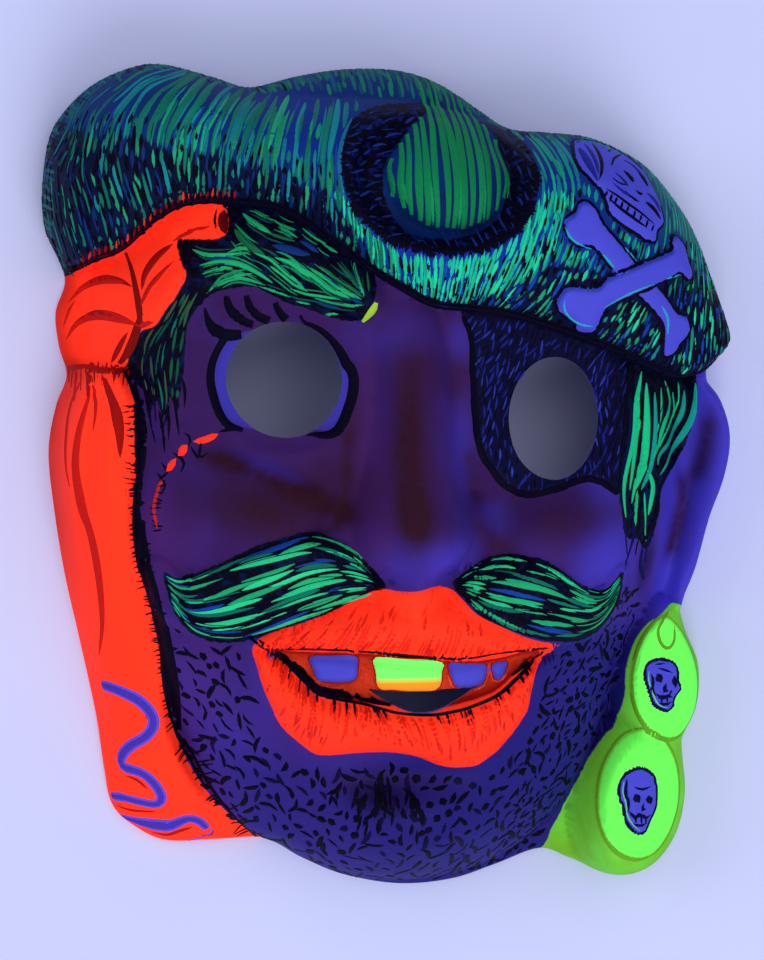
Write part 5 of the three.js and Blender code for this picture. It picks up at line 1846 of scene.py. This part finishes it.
def draw_mouth(b, c):
    b.draw(UPPER_MOUTH_LINE, 8, 1.3, c.ink, 0, 0.2, level=1.0)
    b.draw(LOWER_MOUTH_LINE, 8, (0.8, 1.4, 1.5, 1.5, 1.5, 1.5, 1.5, 1.6, 1.8, 1.8, 1), c.ink, level=1.0)
    inner = smooth(LOWER_MOUTH_LINE[:9], 8) + (0.3, 1.0)
    b.stroke(inner, (0.6, 1.8, 2.2, 2.6, 3, 3.4, 3.4, 2.6, 0.8), c.ink, level=0.8)
    b.draw(trace("41.6,-47.6 38.2,-51.4 33.6,-54.6"), 5, (0.6, 1.8, 0.8), c.ink, level=0.8)
    gum_lines(b, c)
    lip_wrinkles(b, c, UPPER_MOUTH_LINE, LOWER_MOUTH_LINE)


def gum_lines(b, c):
    """A bright gum line under each tooth and a thin dark one beside it."""
    for tooth, bright in zip((*TEETH, GOLD_TOOTH), (0.2, 0.9, 0.9, 0.5)):
        loop = ring(tooth, 4)
        middle = loop.mean(axis=0)
        low = [p + (p - middle) * 0.12 for p in loop if p[1] < middle[1] + 0.5]
        low.sort(key=lambda p: p[0])
        warm = tuple(mix(np.array(tint(150, 40, 20)), np.array(tint(240, 80, 46)), bright))
        b.stroke(low, 1.1, warm, 0.3 * bright, 0.3, level=0.7)
        b.stroke([*loop, loop[0]], 0.45, b.shade(c.cloth_dark), 0, 0, level=0.9)


# the lower lip's outer edge, to which its wrinkles run
LIP_LOW = trace("""
-35,-52 -32.4,-62 -24,-73 -16,-75 -2,-74 10,-76.6 20,-79.4 31,-73.6 38,-62 41,-52
""")


def lip_wrinkles(b, c, upper, lower):
    """Fine lines that run out of the mouth's lines into both lips."""
    lip_top = trace("-34,-41.4 -20,-36 -10,-31.6 -3,-29.2 6,-29 15,-30 24,-37.5 36,-43.6 43,-46")
    for edge, far, count, longest in ((upper, lip_top, 100, 0.55), (lower, LIP_LOW, 150, 0.75)):
        for k in range(count):
            share = 0.05 + 0.9 * (k + b.roll(0, 1)) / count
            ends = [share_points(line, [share])[0] for line in (edge, far)]
            from_edge = b.dice.random() < 0.6
            start = b.roll(0, 0.06) if from_edge else b.roll(0.2, 0.75)
            end = min(start + b.roll(0.15, longest) * (1 if from_edge else 0.6), 0.96)
            sway = b.roll(-0.7, 0.7)
            line = [mix(*ends, t) + (sway * math.sin(3 * t), 0) for t in np.linspace(start, end, 6)]
            red = b.any_of(paints("222,34,16,3 200,26,12,1"), 0.04)
            b.stroke(line, b.roll(0.7, 1.2), red, 0.9, 0.6, 0.8, -0.4)
    for k in range(46):
        share = b.roll(0.03, 0.97)
        ends = [share_points(line, [share])[0] for line in (lower, LIP_LOW)]
        b.stroke([ends[0], mix(*ends, b.roll(0.08, 0.24))], b.roll(0.5, 0.9), c.ink, 0, 0.4, 0.7, 0.9)
        ends = [share_points(line, [share])[0] for line in (upper, lip_top)]
        if k % 2:
            b.stroke([ends[0], mix(*ends, b.roll(0.04, 0.1))], 0.5, c.ink, 0, 0.4, 0.7, 0.9)


class MASK_OT_mouth_lines(bpy.types.Operator):
    """Draw the lips' wrinkles, the lines of the mouth and the edges of the teeth"""

    bl_idname = "mask.mouth_lines"
    bl_label = "Mouth lines"

    def execute(self, context):
        return brushed(context, "mouth_lines", 53, draw_mouth)


BEARD = trace("""
-64.7,-33.2 -60.9,-47.4 -56.8,-64.7 -52.7,-80.3 -46.9,-93.8 -38.7,-104.8 -26.6,-113.5 -11.9,-119
8.5,-122 29.8,-121 47.9,-115 55,-106.8 59,-93 68,-76 71,-55.2 74.7,-37.8 66.3,-33.3 60.3,-45.6 49,-49
43.5,-60 39.5,-73 24,-84.5 -2.6,-79.5 -19.8,-81 -34.5,-72 -40,-47.5 -51.3,-46.8 -59.4,-38.8 -62.8,-30
""")


def dot_stubble(b, c):
    room = lambda x, y: np.minimum(inside(x, y, BEARD) - 0.4, rim_distance(x, y) - 1.2)
    chart = Chart(lambda x, y: np.minimum(room(x, y), -2.6 - inside(x, y, EARRING)))
    even = lambda x, y: np.array([0.0, -1.0])
    inks = [(c.ink, 3), (tint(12, 8, 48), 1)]
    for px, py in sow(b.dice, lambda x, y: chart(x, y) > 0, (-66, 76, -124, -28), 16000, 2.3, 3.7, even):
        lean = b.dice.normal(0, 0.75) - (px - 5) * 0.012
        blot = b.dice.random() < 0.22
        reach = b.roll(1.0, 1.4) if blot else b.roll(1.2, 3.0)
        way = np.array([math.sin(lean), -math.cos(lean)]) * reach
        here = np.array([px, py])
        bend = np.array([way[1], -way[0]]) * b.roll(-0.4, 0.4)
        wide = b.roll(2, 2.8) if blot else b.roll(1.2, 1.75)
        b.draw([here - way, here + bend, here + way], 3, wide, b.any_of(inks), 0, 0.25)
    jaw = lambda x, y: (chart(x, y) > 0) & (x > 38)
    for px, py in sow(b.dice, jaw, (38, 76, -120, -30), 6000, 2.2, 3.2, even):
        lean, reach = b.dice.normal(0, 0.9) - 0.4, b.roll(0.6, 1.5)
        way = np.array([math.sin(lean), -math.cos(lean)]) * reach
        b.stroke([(px, py) - way, (px, py) + way], b.roll(0.8, 1.3), c.ink, 0, 0.35, level=0.2)
    for _ in range(34):
        x, y = b.dice.normal(-3, 6.5), b.dice.normal(-88, 4.5)
        tip = (x + b.roll(-1.6, 0.6), y - b.roll(3, 6))
        b.stroke([(x, y), tip], b.roll(0.9, 1.7), c.ink, 0, 0.4, level=0.3)


class MASK_OT_stubble(bpy.types.Operator):
    """Dot the cheeks and chin with short dark dashes"""

    bl_idname = "mask.stubble"
    bl_label = "Stubble"

    def execute(self, context):
        return brushed(context, "stubble", 67, dot_stubble)


# each fold's width, 1 for dark or 0 for light, and how late it is widest
FOLDS = drawing("""
1.3 1 0.8 -82,52 -76.5,53.7 -72,53.2 -68.8,51.6
1.8 0 1.2 -86.6,46.8 -82.1,51.3 -76.5,53.5 -70.5,52.8
2 0 1.1 -87.2,36.5 -84,41.1 -78.3,43.5 -72.8,42.9 -66.7,40.8
1.1 1 1 -84,42 -78.6,44.2 -74,43.4
1.7 1 0.9 -66.1,50.7 -65.2,55.2 -61.9,59.9 -57.6,63.3
1.1 0 0.8 -66.9,45.5 -63.9,51.8 -59,57.6
1.2 0 1 -67,40.6 -65,41.6 -63,42
0.9 0 1 -57.7,64 -53.1,66.6 -47.8,67.9
0.7 0 1 -63,52 -60,56.2 -57.4,58.6
1.6 1 0.8 -74.6,30.5 -71.8,36 -70,39
0.7 0 1 -88,40 -86.4,44.6 -84.6,47.4
1.3 0 0.9 -84.6,29.6 -84.6,25.3 -85,19.6
1.8 1 0.7 -80.2,30.3 -81,25.8 -81,19.7
1.6 0 0.8 -83,25.5 -86.2,17.9 -87.4,8.9 -87.4,1.5 -86.4,-3.9
2.5 0 0.9 -80.6,22.4 -83.9,11.3 -84.9,1.9 -83.6,-7.3 -80.9,-16.3 -79.1,-25.9 -78.1,-35.4 -77.9,-43.5
  -78.8,-52.5
2.3 1 0.7 -76.9,26.8 -74.5,20.7 -72.7,13.5 -72.5,5
1 0 0.8 -80,27 -79,19 -79.8,12
1.6 1 1 -78.4,29.4 -83.3,29.1 -88,27.8
2.4 1 1 -80,29 -75,28.6 -69.6,29.3
""")
SQUIGGLE_MARKS = drawing("""
1.1 1 -71.5,-88.4 -68.2,-89.6 -65.4,-92.4
0.8 1 -66,-66.6 -65.6,-70.4
1.2 1 -64,-106.4 -60,-107.2 -56,-105.8 -52.6,-104.8
0.9 1 -74.6,-98.4 -69,-99.6 -63,-99.6
0.9 1 -49.8,-107.8 -46.9,-107.4 -46.2,-106
0.8 0 -47.4,-105 -46.6,-106.6 -49.7,-108.2 -53.6,-109.4
0.8 0 -75.6,-98.2 -74.4,-101.6 -70.4,-104.6 -66,-107
""")
DEEP_FOLD = trace("""
-70.2,60.8 -68.7,55.8 -67.7,50.7 -67,46.3 -66.8,42.5 -68.1,38 -70.1,33.5 -72.4,30.3
""")


def cloth_folds(b, c):
    red, light = c.cloth_dark, tint(186, 22, 14)
    for width, deep, tail, line in FOLDS:
        b.draw(line, 6, width * 1.45, b.shade(red if deep else light, 0.06), 0.3, 0.6, tail, 0.2)
    b.draw(DEEP_FOLD, 6, (0.8, 1.6, 2.2, 2.6, 2.9, 2.6, 2.6, 1.2), tint(120, 14, 8), 0.2, level=0.5)
    for x in np.arange(-89, -69, 1.2):
        y = 28.4 + 1.2 * math.sin((x + 80) * 0.35)
        tip = (x + b.roll(-0.8, 0.8), y - b.roll(2, 5))
        b.stroke([(x, y + b.roll(0, 2.2)), tip], b.roll(0.6, 1.0), b.shade(red), 0.2, 0.4, 0.7, 0.4)
    cut_end = trace("-43.9,72.4 -44.4,69.1 -43.9,65.9")
    b.draw(cut_end, 5, 2.8, tint(90, 8, 12), 0.1, 0.3, level=0.6)
    b.draw(trace("-46,72.6 -46.6,69.4 -46,66.3"), 5, 0.8, c.ink, 0, 0.3, level=0.8)


# the long part of the bandana's inked edge, beside the face
FRINGE = trace("""
-69,29 -67.7,22 -67,13.2 -67.2,2.3 -67.5,-6.9 -67.2,-16.1 -65.9,-23.5 -63.4,-33 -61.2,-41.4
-59.6,-49.8 -58.2,-58 -57.3,-66 -56.5,-75
""")


def cloth_fringe(b, c):
    lower = trace("-56.6,-76.3 -53,-81.4 -49.5,-88.2 -45,-95.4 -39.4,-102.2 -33.7,-108.6")
    b.draw(FRINGE, 8, (2, 3.8, 4.6, 4.8, 4.6, 4.4, 4.2, 4.2, 4.2, 4.2, 4.2, 4, 2.6), c.ink, level=0.7)
    edge = smooth(CLOTH_EDGE[1:], 8)[:, ::-1]
    b.stroke(edge + (-0.7, 0), 2.6, c.ink, 0, 0.15, level=0.9)
    b.draw(lower, 8, (2.4, 2.4, 2.4, 2.2, 2, 1.4), c.ink, level=0.7)
    for k in range(6):
        place = smooth(lower, 8)[5 + 5 * k] - (1.2, 0.6)
        b.stroke([place - (0.9, 0.2), place + (1.2, 0.5)], b.roll(1.2, 2), c.ink, 0, 0.3, level=0.9)
    for line, both in ((smooth(FRINGE, 10), False), (smooth(lower, 8), True)):
        for k in range(3, len(line) - 1):
            if line[k][1] > 20 or b.dice.random() < 0.2:
                continue
            way = (line[k + 1] - line[k]) / np.hypot(*(line[k + 1] - line[k]))
            out = np.array([way[1], -way[0]])
            if both and b.dice.random() < 0.45:
                out = -out
            reach = b.roll(2.4, 4.6)
            tip = line[k] + out * reach + way * b.roll(-1.2, 1.0)
            b.stroke([line[k], tip], b.roll(0.5, 0.85), c.ink, 0, 0.35, 0.7, 0.9)


# the squiggle on the bandana: a curl and below it a leaf-like stroke
CURL = trace("""
-78,-61.8 -75.8,-61.7 -73,-62.4 -68,-64.6 -64.7,-68.1 -63.7,-71.8 -65.8,-75.6 -70.3,-79 -72.7,-82.5
-72.4,-85.6 -67.5,-87 -64.2,-89.6 -61.9,-93.2 -61.5,-95.8 -63.3,-97.2 -68.1,-96.4 -72.1,-95.6
-75.6,-95.6
""")
LEAF = trace("""
-74,-101.4 -71,-102.4 -67,-103.3 -63,-104 -59,-104.1 -56.1,-102.8 -53.5,-101.9 -50.6,-102.8
-48.3,-105.2
""")


def cloth_squiggle(b, c):
    violet, lavender, red = tint(66, 50, 166), tint(96, 70, 204), tint(176, 20, 12)
    curl_widths = (
        1.8, 2.4, 2.8, 3.1, 2.7, 2.3, 2.2, 2.2, 2.3, 2.2, 2.2, 2.1, 2, 1.9, 1.7, 1.9, 1.8, 1.2
    )
    leaf_widths = (0.6, 1.6, 2.2, 2.8, 3, 2.4, 2, 1.8, 1.1)
    for points, widths in ((CURL, curl_widths), (LEAF, leaf_widths)):
        line = smooth(points, 7)
        b.stroke(line, np.array(widths) + 1.2, lavender, 0.2, level=0.3)
        b.stroke(line, widths, violet, 0.1, level=0.8)
    for width, dark, points in SQUIGGLE_MARKS:
        b.draw(points, 6, width, red if dark else lavender, 0.15, 0.4, level=0.6)


class MASK_OT_bandana_lines(bpy.types.Operator):
    """Draw the bandana's folds, its fringed edge and its squiggle"""

    bl_idname = "mask.bandana_lines"
    bl_label = "Bandana lines"

    def execute(self, context):
        return brushed(context, "bandana_lines", 71, cloth_folds, cloth_fringe, cloth_squiggle)


SKULL_GLINTS = drawing("""
0.5 77.5,-58.2 77.3,-60.6 78.2,-63.2 79.4,-66.4 81,-68.6 83.4,-69.4
0.5 69.8,-89.6 69.4,-92.4 70.6,-96.4 71,-99.6 73,-102.6 75,-104.4
""")


def draw_earring(b, c):
    for outline in (TOP_DISC, BOTTOM_DISC):
        disc_edge(b, c, outline)
    dark = tint(8, 10, 56)
    for outline in DISC_SKULLS:
        loop = ring(outline, 6)
        b.stroke([*loop, loop[0]], 1.15, dark, 0, 0, level=0.5)
    for width, line in SKULL_MARKS:
        b.stroke(smooth(line, 4) if len(line) > 2 else line, width, dark, 0, 0.4, level=0.8)
    for width, line in SKULL_GLINTS:
        b.draw(line, 4, width, tint(110, 190, 130), 0.3, 0.5, level=0.9)
    hoop = trace("84.6,-41.4 82.1,-44 80.3,-47 81.5,-50.9 83.8,-52.3 85.6,-50.1 85.6,-46")
    b.draw(hoop, 6, 1.1, b.shade(c.disc_side), 0.2, 0.3, level=0.4)


def disc_edge(b, c, outline):
    """An olive line of painted shade round a disc, wider on its left."""
    loop = ring(outline, 6)
    middle = loop.mean(axis=0)
    loop = middle + (loop - middle) * 1.04
    start = int(np.argmax(loop[:, 1]))
    loop = np.vstack([loop[start:], loop[:start]])
    half = len(loop) // 2
    b.stroke(loop[: half + 6], 2.0, b.shade(c.disc_side, 0.05), 0.25, 0.4, level=0.1)
    b.stroke(loop[half:], 1.0, b.shade(c.disc_side, 0.05), 0.25, 0.4, level=0.1)


class MASK_OT_earring_lines(bpy.types.Operator):
    """Draw the earring's ring, the shading of its edges and its two little skulls"""

    bl_idname = "mask.earring_lines"
    bl_label = "Earring lines"

    def execute(self, context):
        return brushed(context, "earring_lines", 83, draw_earring)


# ---- stage ----

# the photo's height in pixels, metres for each of them, and how far off the camera stands
PHOTO_HEIGHT = 960
VIEW_SCALE = 0.000277
VIEW_DISTANCE = 0.680
PHOTO_SHIFT = (-1.5, -6.5)
VIEW_LEFT = math.radians(6.5)
VIEW_UP = math.radians(5.0)
VIEW_TARGET = (0.0, 0.0, 35.0)


def set_camera(context):
    target = Vector(to_frame(*VIEW_TARGET))
    level = math.cos(VIEW_UP)
    back = Vector((-math.sin(VIEW_LEFT) * level, math.sin(VIEW_UP), math.cos(VIEW_LEFT) * level))
    clear_selection()
    bpy.ops.object.camera_add(location=target + back * VIEW_DISTANCE)
    camera = context.object
    right = Vector((0, 1, 0)).cross(back).normalized()
    up = back.cross(right)
    camera.rotation_euler = Matrix((right, up, back)).transposed().to_euler()
    camera.data.lens = camera.data.sensor_width * VIEW_DISTANCE / VIEW_SCALE / PHOTO_HEIGHT
    camera.data.shift_x, camera.data.shift_y = (shift / PHOTO_HEIGHT for shift in PHOTO_SHIFT)
    camera.data.clip_start = 0.01
    context.scene.camera = camera


def hang_lamps(context):
    for name, place, size, power in (
        ("soft_front", (0.25, -0.95, 1.25), 0.9, 13.0),
        ("soft_left", (-1.1, 0.35, 0.9), 0.9, 5.0),
        ("soft_top", (0.3, 0.5, 1.5), 1.2, 6.0),
    ):
        clear_selection()
        bpy.ops.object.light_add(type="AREA", location=place)
        lamp = context.object
        lamp.name = name
        lamp.data.size = size
        lamp.data.energy = power
        lamp.rotation_euler = (-Vector(place)).to_track_quat("-Z", "Y").to_euler()
    world = context.scene.world or bpy.data.worlds.new("studio")
    context.scene.world = world
    world.use_nodes = True
    world.node_tree.nodes["Background"].inputs["Color"].default_value = (0.82, 0.86, 1.0, 1)
    world.node_tree.nodes["Background"].inputs["Strength"].default_value = 0.5
    context.scene.view_settings.view_transform = "Standard"


class MASK_OT_stage(bpy.types.Operator):
    """Lay the floor, hang the lamps and set the camera"""

    bl_idname = "mask.stage"
    bl_label = "Stage"

    def execute(self, context):
        clear_selection()
        bpy.ops.mesh.primitive_plane_add(size=6, location=(0, 0, 0))
        floor = context.object
        floor.name = "pale_floor"
        floor.data.materials.append(pale_floor(context.scene.mask_colours))
        set_camera(context)
        hang_lamps(context)
        return {"FINISHED"}


# ---- panel and registration ----

STEPS = (
    MASK_OT_shell, MASK_OT_hat_strokes, MASK_OT_badges, MASK_OT_hair, MASK_OT_eye_lines,
    MASK_OT_mouth_lines, MASK_OT_stubble, MASK_OT_bandana_lines, MASK_OT_earring_lines, MASK_OT_stage,
)


class MASK_PT_panel(bpy.types.Panel):
    """The mask's sizes, colours and pieces"""

    bl_label = "Pirate mask"
    bl_idname = "MASK_PT_panel"
    bl_space_type = "VIEW_3D"
    bl_region_type = "UI"
    bl_category = "Mask"

    def draw(self, context):
        for group in (context.scene.mask_sizes, context.scene.mask_colours):
            box = self.layout.box()
            for name in group.__annotations__:
                box.prop(group, name)
        for step in STEPS:
            self.layout.operator(step.bl_idname)


CLASSES = (MaskSizes, MaskColours, *STEPS, MASK_PT_panel)


def register():
    for item in CLASSES:
        bpy.utils.register_class(item)
    bpy.types.Scene.mask_sizes = bpy.props.PointerProperty(type=MaskSizes)
    bpy.types.Scene.mask_colours = bpy.props.PointerProperty(type=MaskColours)
    bpy.types.Scene.mask_finish = bpy.props.PointerProperty(type=bpy.types.Material)


def unregister():
    del bpy.types.Scene.mask_finish
    del bpy.types.Scene.mask_colours
    del bpy.types.Scene.mask_sizes
    for item in reversed(CLASSES):
        bpy.utils.unregister_class(item)


def main():
    register()
    bpy.context.scene.mask_finish = brushed_paint()
    for step in STEPS:
        area, name = step.bl_idname.split(".")
        getattr(getattr(bpy.ops, area), name)()


if __name__ == "__main__":
    main()
